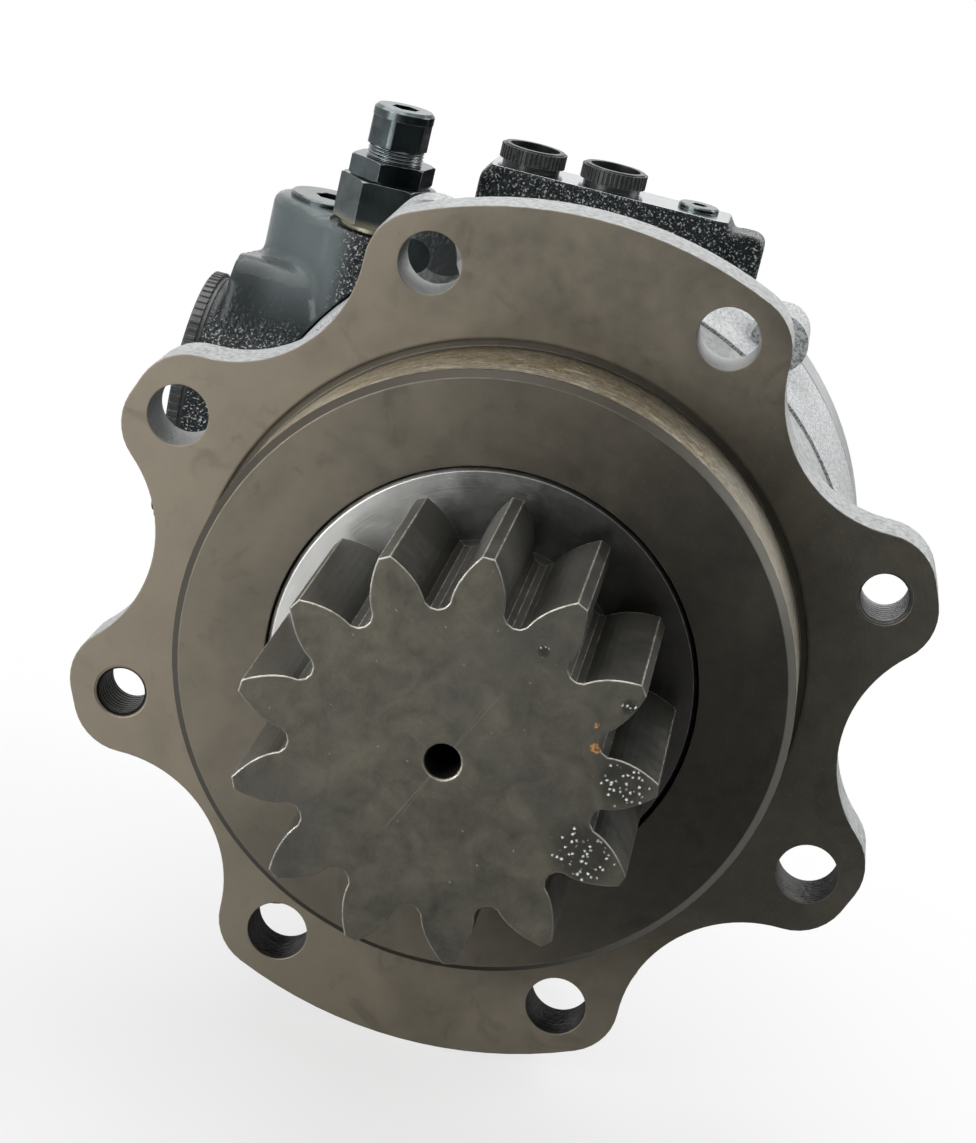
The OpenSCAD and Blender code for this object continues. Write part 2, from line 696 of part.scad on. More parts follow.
sun_shaft_r = 11;
sun_spline_r = 12;
sun_y = planet_y - gap;
sun_end = planet_end + gap;
sun_splines = 12;
module sun_gear() {
    color("#a5a7a9") difference() {
        slab(sun_y, sun_end) polygon(round_root_gear(gear_module, sun_teeth, 0, backlash,
            gear_module * (sun_teeth / 2 + 1), gear_module * (sun_teeth / 2 - dedendum), 90));
        slab(sun_y - over, sun_end + over)
            polygon(spline_points(sun_shaft_r + fit, sun_spline_r + 2 * fit, sun_splines));
    }
}

module ring_gear() {
    root_r = gear_module * (ring_teeth / 2 + dedendum);
    tip_r = gear_module * (ring_teeth / 2 - 1);
    color("#8f9193") difference() {
        rod(ring_gear_d / 2, y_joint1, ring_end, $fn = fine);
        slab(y_joint1 - over, ring_end + over)
            polygon(ring_space(gear_module, ring_teeth, -backlash, root_r, tip_r, 90));
        at_circle(dowel_circle_r, 2, dowel_first)
            rod(dowel_r + fit, y_joint1 - over, y_joint1 + dowel_len / 2 + fit);
    }
}
module ring_gear_dowels() {
    color("#d0d2d4") at_circle(dowel_circle_r, 2, dowel_first)
        rod(dowel_r, y_joint1 - dowel_len / 2, y_joint1 + dowel_len / 2);
}

// Motor casing: ring gear seat, bearing web and swash plate chamber
front_shaft_bearing_r = 26;
front_shaft_bearing_w = 15;
rear_shaft_bearing_r = 20;
rear_shaft_bearing_w = 12;
rear_journal_r = 8.5;
web_lip_t = 1.6;
web_end = web_y + web_lip_t + front_shaft_bearing_w;
chamber_r = 60;
ring_shoulder = 6;
seal_y = planet_end + 2 * carrier_gap;
seal_r = 19;
seal_boss_r = 24;
shaft_seal_w = 4;
casing_taper = 0.8;
head_screw_r = head_screw_d / 2;
head_screw_depth = 20;
screw_hole_clear = 0.5;
module at_head_screws() {
    at_circle(head_r - head_screw_inset, head_screws_n, 180 / head_screws_n) children();
}
ear_seat_y = y_joint1 + rear_ear_len - edge_chamfer;
module motor_casing() {
    color("#c9cccd") difference() {
        union() {
            turned([[0, y_joint1], [casing_r - casing_taper, y_joint1],
                [casing_r, y_joint2 - joint_groove_w],
                [casing_r - joint_groove_depth, y_joint2 - joint_groove_w],
                [casing_r - joint_groove_depth, y_joint2], [0, y_joint2]]);
            ears(y_joint1, y_joint1 + rear_ear_len);
            rotate([0, -casing_lug_angle, 0])
                rod(casing_lug_r, casing_lug_y, casing_lug_y + casing_lug_len, casing_r + casing_lug_rise);
        }
        turned([[0, y_joint1 - over], [ring_gear_d / 2 + fit, y_joint1 - over],
            [ring_gear_d / 2 + fit, ring_end], [ring_gear_d / 2 - ring_shoulder, ring_end],
            [ring_gear_d / 2 - ring_shoulder, web_y], [seal_boss_r, web_y],
            [seal_boss_r, seal_y - gap], [seal_r + fit, seal_y - gap], [seal_r + fit, web_y + web_lip_t],
            [front_shaft_bearing_r + fit, web_y + web_lip_t], [front_shaft_bearing_r + fit, web_end],
            [chamber_r, web_end], [chamber_r, y_joint2 + over], [0, y_joint2 + over]]);
        at_ears() rod(ear_screw_r + screw_hole_clear, y_joint1 - over, y_joint1 + rear_ear_len + over);
        at_ears() rod(ear_screw_head_r + 3 * screw_hole_clear,
            ear_seat_y, ear_seat_y + 2 * ear_screw_head_h);
        at_head_screws() rod(2 * tap_share * head_screw_r, y_joint2 - head_screw_depth, y_joint2 + over);
        ring(casing_seat_r - o_ring_r, casing_seat_r + o_ring_r, y_joint2 - 2 * o_ring_r, y_joint2 + over);
    }
}
casing_seat_r = 76;
casing_lug_angle = 57;
casing_lug_r = 9;
casing_lug_y = 88;
casing_lug_len = 24;
casing_lug_rise = 4.2;
module o_ring(r, y) {
    rotate([-90, 0, 0]) translate([0, 0, y]) rotate_extrude($fn = fine)
        translate([r, 0]) circle(r = o_ring_r - fit, $fn = 24);
}
module casing_o_rings() {
    color("#1b1b1b") {
        o_ring(o_ring_seat_r, y_joint1 - o_ring_r);
        o_ring(casing_seat_r, y_joint2 - o_ring_r);
    }
}
module shaft_seal() {
    color("#3b2a22") turned([[seal_r, seal_y], [seal_r, seal_y + shaft_seal_w],
        [seal_r - seal_wall, seal_y + shaft_seal_w], [seal_r - seal_wall, seal_y + seal_wall / 2],
        [shaft_r + seal_wall, seal_y + seal_wall / 2], [shaft_r + seal_wall, seal_y + seal_wall],
        [shaft_r, seal_y + seal_wall / 2], [shaft_r + seal_wall / 2, seal_y]]);
}

// Socket head screws with a true hexagon socket, head towards +Y
socket_share = 0.8;
ear_screw_head_r = 9;
ear_screw_head_h = 12;
module cap_screw(r, head_r, head_h, y_tip, y_seat) {
    difference() {
        union() {
            rod(r, y_tip, y_seat + over);
            rod(head_r, y_seat, y_seat + head_h);
        }
        slab(y_seat + head_h / 2, y_seat + head_h + over) hexagon(2 * r * socket_share);
    }
}
module ear_screws() {
    color("#26282a") at_ears()
        cap_screw(2 * tap_share * ear_screw_r - fit, ear_screw_head_r, ear_screw_head_h,
            y_joint1 - front_ear_len + edge_chamfer, ear_seat_y);
}

// Motor shaft from the sun gear to the rear bearing
shaft_r = motor_shaft_d / 2;
shaft_spline_r = 14;
shaft_splines = 16;
y_run = web_end + swash_min_t + swash_d / 2 * tan(swash_angle);
y_pivot = y_run + shoe_socket_h / cos(swash_angle);
piston_circle_r = piston_circle_d / 2;
stroke_half = piston_circle_r * tan(swash_angle);
shoe_rise = 3;
block_clear = 1.6;
block_y = y_pivot + stroke_half + shoe_rise / cos(swash_angle) + block_clear;
block_end = block_y + block_len;
film = 0.1;
plate_y = block_end + film;
plate_end = plate_y + valve_plate_t;
rear_shaft_bearing_y = plate_end + 2 * film + web_lip_t;
module motor_shaft() {
    rear = rear_shaft_bearing_y + rear_shaft_bearing_w + gap;
    shoulder = shaft_spline_r + edge_chamfer;
    color("#b0b3b5") union() {
        slab(sun_y, sun_end + over) polygon(spline_points(sun_shaft_r, sun_spline_r, sun_splines));
        turned([[0, sun_end], [shaft_r - fit, sun_end], [shaft_r - fit, web_end],
            [shoulder, web_end], [shoulder, guide_y - over], [shaft_r, guide_y - over],
            [shaft_r, plate_end], [rear_journal_r, plate_end], [rear_journal_r, rear], [0, rear]]);
        slab(guide_y - 1.5 * over, block_end - edge_chamfer)
            polygon(spline_points(shaft_r - over / 2, shaft_spline_r, shaft_splines));
    }
}

// Deep groove ball bearings of the motor shaft
ball_share = 0.3;
race_share = 0.27;
module ball_ring(ri, ro, w, groove_r) {
    difference() {
        ring(ri, ro, 0, w);
        rotate([-90, 0, 0]) translate([0, 0, w / 2]) rotate_extrude($fn = fine)
            translate([groove_r, 0]) circle(r = ball_r(w) + fit, $fn = 32);
    }
}
function ball_r(w) = w * ball_share * 0.9;
module shaft_balls(ri, ro, w, n) {
    mid = (ri + ro) / 2;
    for (k = [0:n - 1]) let (a = 360 * k / n) translate([mid * cos(a), w / 2, mid * sin(a)])
        sphere(r = ball_r(w), $fn = 32);
}
front_balls = 9;
rear_balls = 8;
front_mid_r = (shaft_r + front_shaft_bearing_r) / 2;
rear_mid_r = (rear_journal_r + rear_shaft_bearing_r) / 2;
front_race_t = (front_shaft_bearing_r - shaft_r) * race_share;
rear_race_t = (rear_shaft_bearing_r - rear_journal_r) * race_share;
module at_front_bearing() { translate([0, web_y + web_lip_t, 0]) children(); }
module at_rear_bearing() { translate([0, rear_shaft_bearing_y, 0]) children(); }
module shaft_bearing_front() {
    color("#b9bcc0") at_front_bearing() ball_ring(front_shaft_bearing_r - front_race_t,
        front_shaft_bearing_r, front_shaft_bearing_w, front_mid_r);
}
module shaft_bearing_rear() {
    color("#b9bcc0") at_rear_bearing() ball_ring(rear_shaft_bearing_r - rear_race_t,
        rear_shaft_bearing_r, rear_shaft_bearing_w, rear_mid_r);
}
module shaft_races() {
    color("#b9bcc0") {
        at_front_bearing() ball_ring(shaft_r, shaft_r + front_race_t, front_shaft_bearing_w, front_mid_r);
        at_rear_bearing() ball_ring(rear_journal_r + fit, rear_journal_r + rear_race_t,
            rear_shaft_bearing_w, rear_mid_r);
    }
}
module shaft_balls_front() {
    color("#d5d8da") at_front_bearing()
        shaft_balls(shaft_r, front_shaft_bearing_r, front_shaft_bearing_w, front_balls);
}
module shaft_balls_rear() {
    color("#d5d8da") at_rear_bearing()
        shaft_balls(rear_journal_r, rear_shaft_bearing_r, rear_shaft_bearing_w, rear_balls);
}

// Swash plate, thickest at +Z, and what runs on it
swash_bore_r = 20;
module swash_frame() {
    translate([0, y_pivot, 0]) rotate([-swash_angle, 0, 0]) children();
}
module swash_plate() {
    color("#a8abad") difference() {
        rod(swash_d / 2, web_end, y_run + swash_d, $fn = fine);
        rod(swash_bore_r, web_end - over, y_run + swash_d + over);
        swash_frame() translate([-swash_d, -shoe_socket_h, -swash_d])
            cube([2 * swash_d, 4 * swash_d, 2 * swash_d]);
    }
}
ball_end_r = 4.6;
socket_play = 1.1;
neck_share = 0.62;
shoe_ring_r = piston_circle_r * (1 + 1 / cos(swash_angle)) / 2;
shoe_body_r = 6.8;
shoe_pad_gap = 0.1;
module at_shoes() {
    for (k = [0:pistons_n - 1]) let (a = 90 + 360 * k / pistons_n)
        translate([shoe_ring_r * cos(a), 0, shoe_ring_r * sin(a)]) children();
}
module shoes() {
    color("#b98f4e") swash_frame() at_shoes() difference() {
        union() {
            rod(shoe_d / 2, -shoe_socket_h + shoe_pad_gap, -shoe_socket_h + shoe_pad_gap + shoe_t);
            rod(shoe_body_r, -shoe_socket_h + shoe_t, shoe_rise);
        }
        sphere(r = ball_end_r + socket_play, $fn = 48);
        rod(ball_end_r + socket_play, 0, shoe_rise + over);
        rod(edge_chamfer, -shoe_socket_h - over, 0);
    }
}
guide_r = 18;
guide_share = 0.45;
guide_y = y_pivot - guide_r * guide_share;
guide_end = y_pivot + guide_r * guide_share;
retainer_d = 76;
module retainer_plate() {
    y0 = -shoe_socket_h + shoe_pad_gap + shoe_t + film;
    color("#8d9092") swash_frame() difference() {
        rod(retainer_d / 2, y0, y0 + retainer_t, $fn = fine);
        sphere(r = guide_r + gap, $fn = fine);
        at_shoes() rod(shoe_body_r + gap, y0 - over, y0 + retainer_t + over);
    }
}
module ball_guide() {
    color("#9a9da0") difference() {
        turned(concat([[0, guide_y]], arc([0, y_pivot], guide_r, -asin(guide_share), asin(guide_share), 12),
            [[0, guide_end]]));
        slab(guide_y - over, guide_end + over)
            polygon(spline_points(shaft_r + fit, shaft_spline_r + fit, shaft_splines));
    }
}

// Cylinder block with its bores, splines and spring
bore_depth_share = 0.8;
block_spline_r = 41;
block_splines = 32;
spring_r = 16;
spring_wire = 1.6;
spring_pocket = 14;
disc_y = y_joint2 + 9;
module at_pistons() {
    for (k = [0:pistons_n - 1]) let (a = 90 + 360 * k / pistons_n)
        translate([piston_circle_r * cos(a), 0, piston_circle_r * sin(a)]) children();
}
module cylinder_block() {
    color("#9b9ea1") difference() {
        union() {
            rod(block_d / 2, block_y, block_end, $fn = fine);
            slab(block_y + edge_chamfer, disc_y + block_len / 3)
                polygon(spline_points(block_d / 2 - over, block_spline_r, block_splines));
        }
        slab(block_y + spring_pocket, block_end + over)
            polygon(spline_points(shaft_r + fit, shaft_spline_r + fit, shaft_splines));
        rod(spring_r + fit, block_y - over, block_y + spring_pocket);
        at_pistons() rod(piston_d / 2 + fit, block_y - over, block_y + block_len * bore_depth_share);
        at_pistons() rod(piston_d / 4, block_y, block_end + over);
    }
}
module block_spring() {
    color("#55585a") ring(spring_r - spring_wire, spring_r - fit, guide_end, block_y + spring_pocket);
}
module pistons() {
    y_ball = y_pivot + stroke_half;
    color("#c3c6c8") at_pistons() difference() {
        union() {
            translate([0, y_ball, 0]) sphere(r = ball_end_r, $fn = 32);
            rod(ball_end_r * neck_share, y_ball, block_y + 2 * over);
            rod(piston_d / 2, block_y + over, block_y + block_len * bore_depth_share - over);
        }
        rod(edge_chamfer, y_ball - 2 * ball_end_r, block_end);
    }
}
kidney_half = 4;
kidney_sweep = 60;
module kidneys(r, half, y0, y1) {
    for (side = [0, 180]) rotate([0, side, 0]) {
        intersection() {
            ring(r - half, r + half, y0, y1);
            slab(y0, y1) polygon(concat([[0, 0]], arc([0, 0], 2 * r, -kidney_sweep, kidney_sweep, 8)));
        }
    }
}
valve_plate_bore_r = rear_shaft_bearing_r + edge_chamfer / 2;
module valve_plate() {
    color("#b08d57") difference() {
        ring(valve_plate_bore_r, block_d / 2, plate_y, plate_end);
        kidneys(piston_circle_r, kidney_half, plate_y - over, plate_end + over);
    }
}

// Brake housing and the disc pack of the parking brake
plate_lugs = 12;
lug_depth = 3;
head_step = 2.8;
head_r = casing_r - head_step;
brake_piston_r = head_r - brake_wall;
plate_r = brake_piston_r - plate_land;
brake_shelf = 6;
module brake_housing() {
    color("#c9cccd") difference() {
        turned([[0, y_joint2], [casing_r, y_joint2], [casing_r, y_joint3 - joint_groove_w],
            [casing_r - joint_groove_depth, y_joint3 - joint_groove_w],
            [casing_r - joint_groove_depth, y_joint3], [0, y_joint3]]);
        rod(friction_d / 2 + gap, y_joint2 - over, y_joint3 + over, $fn = fine);
        slab(y_joint2 + brake_shelf, y_joint3 + over)
            polygon(spline_points(plate_r - lug_depth + gap, plate_r + gap, plate_lugs));
        at_head_screws() rod(head_screw_r + screw_hole_clear, y_joint2 - over, y_joint3 + over);
    }
}
pack_pitch = brake_disc_t + film;
pack_y = y_joint2 + brake_shelf;
module brake_plates() {
    color("#7d8083") for (k = [0:brake_discs]) let (y = pack_y + 2 * k * pack_pitch) slab(y, y + brake_disc_t)
        difference() {
            polygon(spline_points(plate_r - lug_depth, plate_r, plate_lugs));
            circle(r = block_spline_r + gap, $fn = fine);
        }
}
module friction_discs() {
    color("#5e5346") for (k = [0:brake_discs - 1]) let (y = pack_y + (2 * k + 1) * pack_pitch)
        slab(y, y + brake_disc_t) difference() {
            circle(r = friction_d / 2, $fn = fine);
            polygon(spline_points(block_d / 2 + fit, block_spline_r + fit, block_splines));
        }
}
pack_end = pack_y + 2 * brake_discs * pack_pitch + brake_disc_t;
brake_bore_r = 44;
brake_nose_step = 16;
brake_nose_r = brake_piston_r - brake_nose_step;
brake_spring_r = 4;
brake_spring_circle_r = brake_piston_r - brake_nose_step / 2;
piston_y = y_joint3 + 2 * over;
spring_pocket_depth = 7;
module brake_piston() {
    color("#a2a5a8") difference() {
        turned([[brake_bore_r, pack_end + gap], [brake_nose_r, pack_end + gap], [brake_nose_r, piston_y],
            [brake_piston_r, piston_y], [brake_piston_r, piston_y + brake_piston_len],
            [brake_bore_r, piston_y + brake_piston_len]]);
        at_circle(brake_spring_circle_r, brake_springs_n)
            rod(brake_spring_r + gap, piston_y + brake_piston_len - spring_pocket_depth,
                piston_y + brake_piston_len + over);
    }
}
brake_spring_len = 16;
module brake_springs() {
    y0 = piston_y + brake_piston_len - spring_pocket_depth + film;
    color("#5a5d60") at_circle(brake_spring_circle_r, brake_springs_n)
        ring(brake_spring_r / 2, brake_spring_r, y0, y0 + brake_spring_len);
}

// Valve head: round body, top pad, and the arm that carries the relief valve and side port
gasket_t = 0.8;
head_y = y_joint3 + gasket_t;
head_taper_y = 14;
head_taper_r = 13;
head_rear_r = head_r - head_taper_r;
head_chamfer = 6;
pad_end = head_y + pad_depth;
pad_z = head_r + pad_rise;
port_y = head_y + port_cap_d / 2;
port_a_x = -pad_left + port_inset;
port_b_x = port_a_x + port_pitch;
top_plug_x = port_b_x + 29.6 * port_pitch / 27.4;
port_depth = 14;
pad_corner = 3.5;
lug_w = 12;
lug_drop = 3;
lug_depth_z = 20;
arm_clear = 0.4;
arm_r = casing_r + arm_clear;
arm_lead = 17;
arm_front = relief_y - arm_lead;
arm_wall = 4;
relief_boss_r = 17;
check_boss_r = 18.5;
side_boss_r = side_cap_d / 2 - 1.5 * edge_chamfer;
side_boss_len = 30;
gauge_drop = 12.5;
gauge_z = side_port_z - side_cap_d / 2 - gauge_drop;
gauge_boss_r = 8;
gauge_x = side_port_x + 7;
arm_bar_r = 11;
arm_bar_z = -12;
arm_knob_r = 12;
arm_knob_z = side_port_z + side_boss_r;
arm_left = 117;
arm_low_z = -22;
relief_bore_r = 8.5;
relief_stem_len = 4.6;
check_bore_r = 10.5;
check_stem_len = 12;
spot_r = 16;
galley_r = 4.5;
brake_back = piston_y + brake_piston_len + brake_travel + gap;
side_thread_len = 14;

module head_gasket() {
    color("#3a3d40") difference() {
        ring(brake_piston_r + fit, head_r, y_joint3, head_y);
        at_head_screws() rod(head_screw_r + screw_hole_clear, y_joint3 - over, head_y + over);
    }
}
module head_round_body() {
    turned([[0, head_y], [head_r, head_y], [head_r, head_y + head_taper_y],
        [head_rear_r, head_y + 2 * head_taper_y], [head_rear_r, y_end - head_chamfer],
        [head_rear_r - head_chamfer, y_end], [0, y_end]]);
}
module top_pad() {
    slab(head_y, pad_end) polygon([[-pad_left, 0], [-pad_left + pad_w, 0],
        [-pad_left + pad_w, pad_z - pad_corner / 2], [-pad_left + pad_w - pad_corner / 2, pad_z],
        [-pad_left + pad_corner, pad_z], [-pad_left, pad_z - pad_corner]]);
    hull() for (x = [pad_corner, lug_w - pad_corner], z = [pad_corner, lug_depth_z - pad_corner])
        rod(pad_corner, head_y + over, pad_end - over,
            -pad_left + pad_w + x, pad_z - lug_drop - z, $fn = 24);
}
module arm_solids() {
    post(relief_boss_r, arm_low_z / 2, relief_z + over, -relief_x, relief_y);
    post(check_boss_r, arm_low_z / 2, check_z, -check_x, check_y);
    hull() {
        post(relief_boss_r - edge_chamfer, arm_low_z / 2, relief_z, -relief_x, relief_y, $fn = 32);
        post(check_boss_r - edge_chamfer, arm_low_z / 2, relief_z, -check_x, check_y, $fn = 32);
    }
    bar(side_boss_r, -side_port_x, -side_port_x + side_boss_len, side_port_y, side_port_z);
    bar(gauge_boss_r, -gauge_x, -gauge_x + side_boss_len, side_port_y, gauge_z);
    hull() {
        bar(arm_bar_r, -arm_left, -relief_x, side_port_y, arm_bar_z, $fn = 32);
        bar(arm_knob_r, -arm_left, -relief_x, relief_y + gap, arm_knob_z, $fn = 32);
        bar(side_boss_r - arm_wall, -arm_left, -relief_x, side_port_y, side_port_z, $fn = 32);
        for (z = [arm_bar_z, relief_z - 3 * arm_bar_r])
            bar(arm_bar_r, -arm_left, -relief_x, head_y + head_taper_y - arm_bar_r, z, $fn = 32);
    }
}
module head_galleries() {
    // Gallery of port A to the left kidney and of port B to the right one
    z = pad_z - port_depth - 2 * galley_r;
    kidney_y = plate_end + galley_r + 2 * over;
    post(galley_r, z, pad_z - port_depth + over, port_a_x, port_y);
    post(galley_r, z, pad_z - port_depth + over, port_b_x, port_y);
    rod(galley_r, port_y, kidney_y + galley_r, port_a_x, z);
    post(galley_r, 0, z + over, -piston_circle_r, kidney_y);
    bar(galley_r, port_a_x, -piston_circle_r + galley_r, kidney_y, z);
    bar(galley_r, port_b_x, piston_circle_r, port_y, z);
    rod(galley_r, port_y, kidney_y + galley_r, piston_circle_r, z);
    post(galley_r, 0, z + over, piston_circle_r, kidney_y);
    kidneys(piston_circle_r, kidney_half, plate_end - over, kidney_y);
}
module valve_head() {
    color("#23282a") difference() {
        union() {
            head_round_body();
            top_pad();
            difference() {
                arm_solids();
                rod(arm_r, min(arm_front, side_port_y - side_boss_r) - 2 * over, head_y, $fn = fine);
                rod(head_r - over, head_y - over, head_y + head_taper_y, $fn = fine);
            }
        }
        // Brake cylinder, valve plate seat and rear shaft bearing
        turned([[0, head_y - over], [brake_piston_r + fit, head_y - over],
            [brake_piston_r + fit, brake_back], [brake_bore_r - gap, brake_back],
            [brake_bore_r - gap, plate_end], [rear_shaft_bearing_r + fit, plate_end],
            [rear_shaft_bearing_r + fit, rear_shaft_bearing_y + rear_shaft_bearing_w],
            [rear_journal_r + 2 * over, rear_shaft_bearing_y + rear_shaft_bearing_w],
            [rear_journal_r + 2 * over, rear_shaft_bearing_y + rear_shaft_bearing_w + 2 * over],
            [0, rear_shaft_bearing_y + rear_shaft_bearing_w + 2 * over]]);
        at_circle(brake_spring_circle_r, brake_springs_n) rod(brake_spring_r + gap, brake_back - over,
            piston_y + brake_piston_len - spring_pocket_depth + brake_spring_len + 2 * film);
        at_head_screws() rod(head_screw_r + screw_hole_clear, head_y - over, y_end + over);
        at_head_screws() rod(head_screw_head_r + screw_hole_clear, head_screw_seat, y_end + over);
        head_galleries();
        for (x = [port_a_x, port_b_x]) {
            post(port_d / 2, pad_z - port_depth, pad_z + over, x, port_y);
        }
        post(top_plug_stem_r + fit, pad_z - port_depth / 2, pad_z + over, top_plug_x, port_y);
        post(relief_bore_r + fit, relief_z - relief_stem_len - thread_gap, relief_z + over,
            -relief_x, relief_y);
        post(spot_r, relief_z, relief_z + 2 * check_head_h + over, -relief_x, relief_y);
        post(check_bore_r + fit, check_z - check_stem_len - over, check_z + over, -check_x, check_y);
        bar(side_port_d / 2, -side_port_x - over, -side_port_x + side_thread_len, side_port_y, side_port_z);
        bar(gauge_stem_r + fit, -gauge_x - over, -gauge_x + gauge_stem_len, side_port_y, gauge_z);
    }
}

head_screw_head_r = 8;
head_screw_head_h = 10;
head_screw_seat = head_y + 1.8 * head_taper_y;
module head_screws() {
    color("#26282a") at_head_screws()
        cap_screw(2 * tap_share * head_screw_r - fit, head_screw_head_r, head_screw_head_h,
            y_joint2 - head_screw_depth + edge_chamfer, head_screw_seat);
}

// Relief valve: body, lock nut and adjusting screw
relief_foot_h = 2.5;
relief_foot_r = 13.4;
adjuster_bore_r = adjuster_d / 2 + fit;
nut_gap = 0.3;
body_top = relief_z + relief_h;
nut_top = body_top + nut_gap + lock_nut_h;
cap_z = nut_top + adjuster_thread_h;
adjuster_top = cap_z + adjuster_cap_h;
adjuster_foot = relief_z + relief_foot_h;
body_turn = 6;
nut_turn = 21;
module hex_prism(af, z0, z1, turn) {
    translate([0, 0, z0]) rotate(turn) linear_extrude(z1 - z0) hexagon(af);
}
// Hexagon whose corners are turned off at both ends
module turned_hex(af, z0, z1, turn, cut) {
    corner_r = af / 2 / cos(30);
    intersection() {
        hex_prism(af, z0, z1, turn);
        rotate_extrude($fn = fine) polygon([[0, z0], [corner_r - cut, z0], [corner_r + cut, z0 + cut],
            [corner_r + cut, z1 - cut], [corner_r - cut, z1], [0, z1]]);
    }
}
module at_relief() {
    translate([-relief_x, relief_y, 0]) children();
}
module relief_body() {
    color("#2c3133") at_relief() difference() {
        union() {
            post(relief_bore_r, relief_z - relief_stem_len, relief_z + over);
            rotate_extrude($fn = fine) polygon([[0, relief_z], [relief_foot_r - edge_chamfer, relief_z],
                [relief_foot_r, relief_z + edge_chamfer],
                [relief_foot_r, relief_z + relief_foot_h + over],
                [0, relief_z + relief_foot_h + over]]);
            turned_hex(relief_af, relief_z + relief_foot_h, body_top, body_turn, edge_chamfer);
        }
        post(adjuster_bore_r, adjuster_foot, body_top + over);
    }
}
module relief_lock_nut() {
    color("#2c3133") at_relief() difference() {
        turned_hex(lock_nut_af, body_top + nut_gap, nut_top, nut_turn, edge_chamfer);
        post(adjuster_bore_r, body_top, nut_top + over);
    }
}
thread_ridges = 4;
thread_depth = 0.5;
flat_af_share = 0.9;
collar_share = 0.28;
socket_af = 8;
socket_depth = 6;
module relief_adjuster() {
    pitch = adjuster_thread_h / thread_ridges;
    r = adjuster_d / 2;
    collar_z = adjuster_top - collar_share * adjuster_cap_h;
    color("#2c3133") at_relief() difference() {
        union() {
            post(r, adjuster_foot + fit, nut_top);
            post(r - 2 * thread_depth, adjuster_foot + over, adjuster_top - socket_depth - over);
            rotate_extrude($fn = fine) polygon(concat([[0, nut_top]],
                [for (k = [0:thread_ridges - 1]) each [[r - thread_depth, nut_top + k * pitch],
                    [r, nut_top + (k + 0.5) * pitch]]], [[r - thread_depth, cap_z], [0, cap_z]]));
            intersection() {
                post(adjuster_cap_d / 2 - fit, cap_z, collar_z + over);
                hex_prism(adjuster_cap_d * flat_af_share, cap_z, collar_z + over, nut_turn);
            }
            rotate_extrude($fn = fine) polygon([[0, collar_z], [adjuster_cap_d / 2, collar_z],
                [adjuster_cap_d / 2, adjuster_top - edge_chamfer],
                [adjuster_cap_d / 2 - edge_chamfer, adjuster_top], [0, adjuster_top]]);
        }
        hex_prism(socket_af, adjuster_top - socket_depth, adjuster_top + over, nut_turn);
    }
}

// Hexagon socket plugs of the two check valves
check_socket_af = 10;
top_plug_head_r = 6.8;
top_plug_head_h = 1.6;
top_plug_stem_r = 5;
top_plug_socket_af = 5;
module socket_plug(head_r, head_h, stem_r, stem_len, af) {
    difference() {
        union() {
            post(stem_r, -stem_len, over / 2);
            rotate_extrude($fn = fine) polygon([[0, 0], [head_r, 0], [head_r, head_h - edge_chamfer / 2],
                [head_r - edge_chamfer / 2, head_h], [0, head_h]]);
        }
        translate([0, 0, -stem_len / 2]) linear_extrude(stem_len + head_h) hexagon(af);
    }
}
module check_plugs() {
    color("#2a2e30") {
        translate([-check_x, check_y, check_z])
            socket_plug(check_head_d / 2, check_head_h, check_bore_r, check_stem_len, check_socket_af);
        translate([top_plug_x, port_y, pad_z]) socket_plug(top_plug_head_r, top_plug_head_h,
            top_plug_stem_r, port_depth / 2 - edge_chamfer, top_plug_socket_af);
    }
}
gauge_stem_r = 3.5;
gauge_stem_len = 9;
gauge_head_h = 1.6;
module gauge_plug() {
    color("#2a2e30") translate([-gauge_x, side_port_y, gauge_z]) rotate([0, -90, 0])
        socket_plug(gauge_boss_r - 2 * edge_chamfer, gauge_head_h, gauge_stem_r,
            gauge_stem_len - edge_chamfer, top_plug_socket_af);
}

// Knurled transit caps, pushed into the threads of the open ports
knurl_depth = 0.45;
cap_wall = 2.6;
cap_floor = 1.5;
band_share = 0.75;
module transit_cap(d, h, stem_r, stem_len, ribs) {
    r = d / 2;
    z0 = h * (1 - band_share);
    difference() {
        union() {
            translate([0, 0, z0]) linear_extrude(h - z0 - edge_chamfer / 2)
                polygon(knurl_points(r, knurl_depth, ribs));
            post(r - knurl_depth - edge_chamfer / 2, h - edge_chamfer, h);
            post(r - 2 * knurl_depth - edge_chamfer / 2, 0, z0 + over / 2);
            post(stem_r, -stem_len, over / 2);
        }
        post(r - cap_wall, z0, h + over);
        post(stem_r - cap_floor, -stem_len + cap_floor, h);
    }
}
top_cap_ribs = 44;
side_cap_ribs = 72;
cap_stem_len = 9;
module port_cap(x) {
    color("#1f2224") translate([x, port_y, pad_z])
        transit_cap(port_cap_d, port_cap_h, port_d / 2 - fit, cap_stem_len, top_cap_ribs);
}
module port_cap_a() { port_cap(port_a_x); }
module port_cap_b() { port_cap(port_b_x); }
module side_port_cap() {
    color("#1f2224") translate([-side_port_x, side_port_y, side_port_z]) rotate([0, -90, 0])
        transit_cap(side_cap_d, side_cap_h, side_port_d / 2 - fit, cap_stem_len, side_cap_ribs);
}

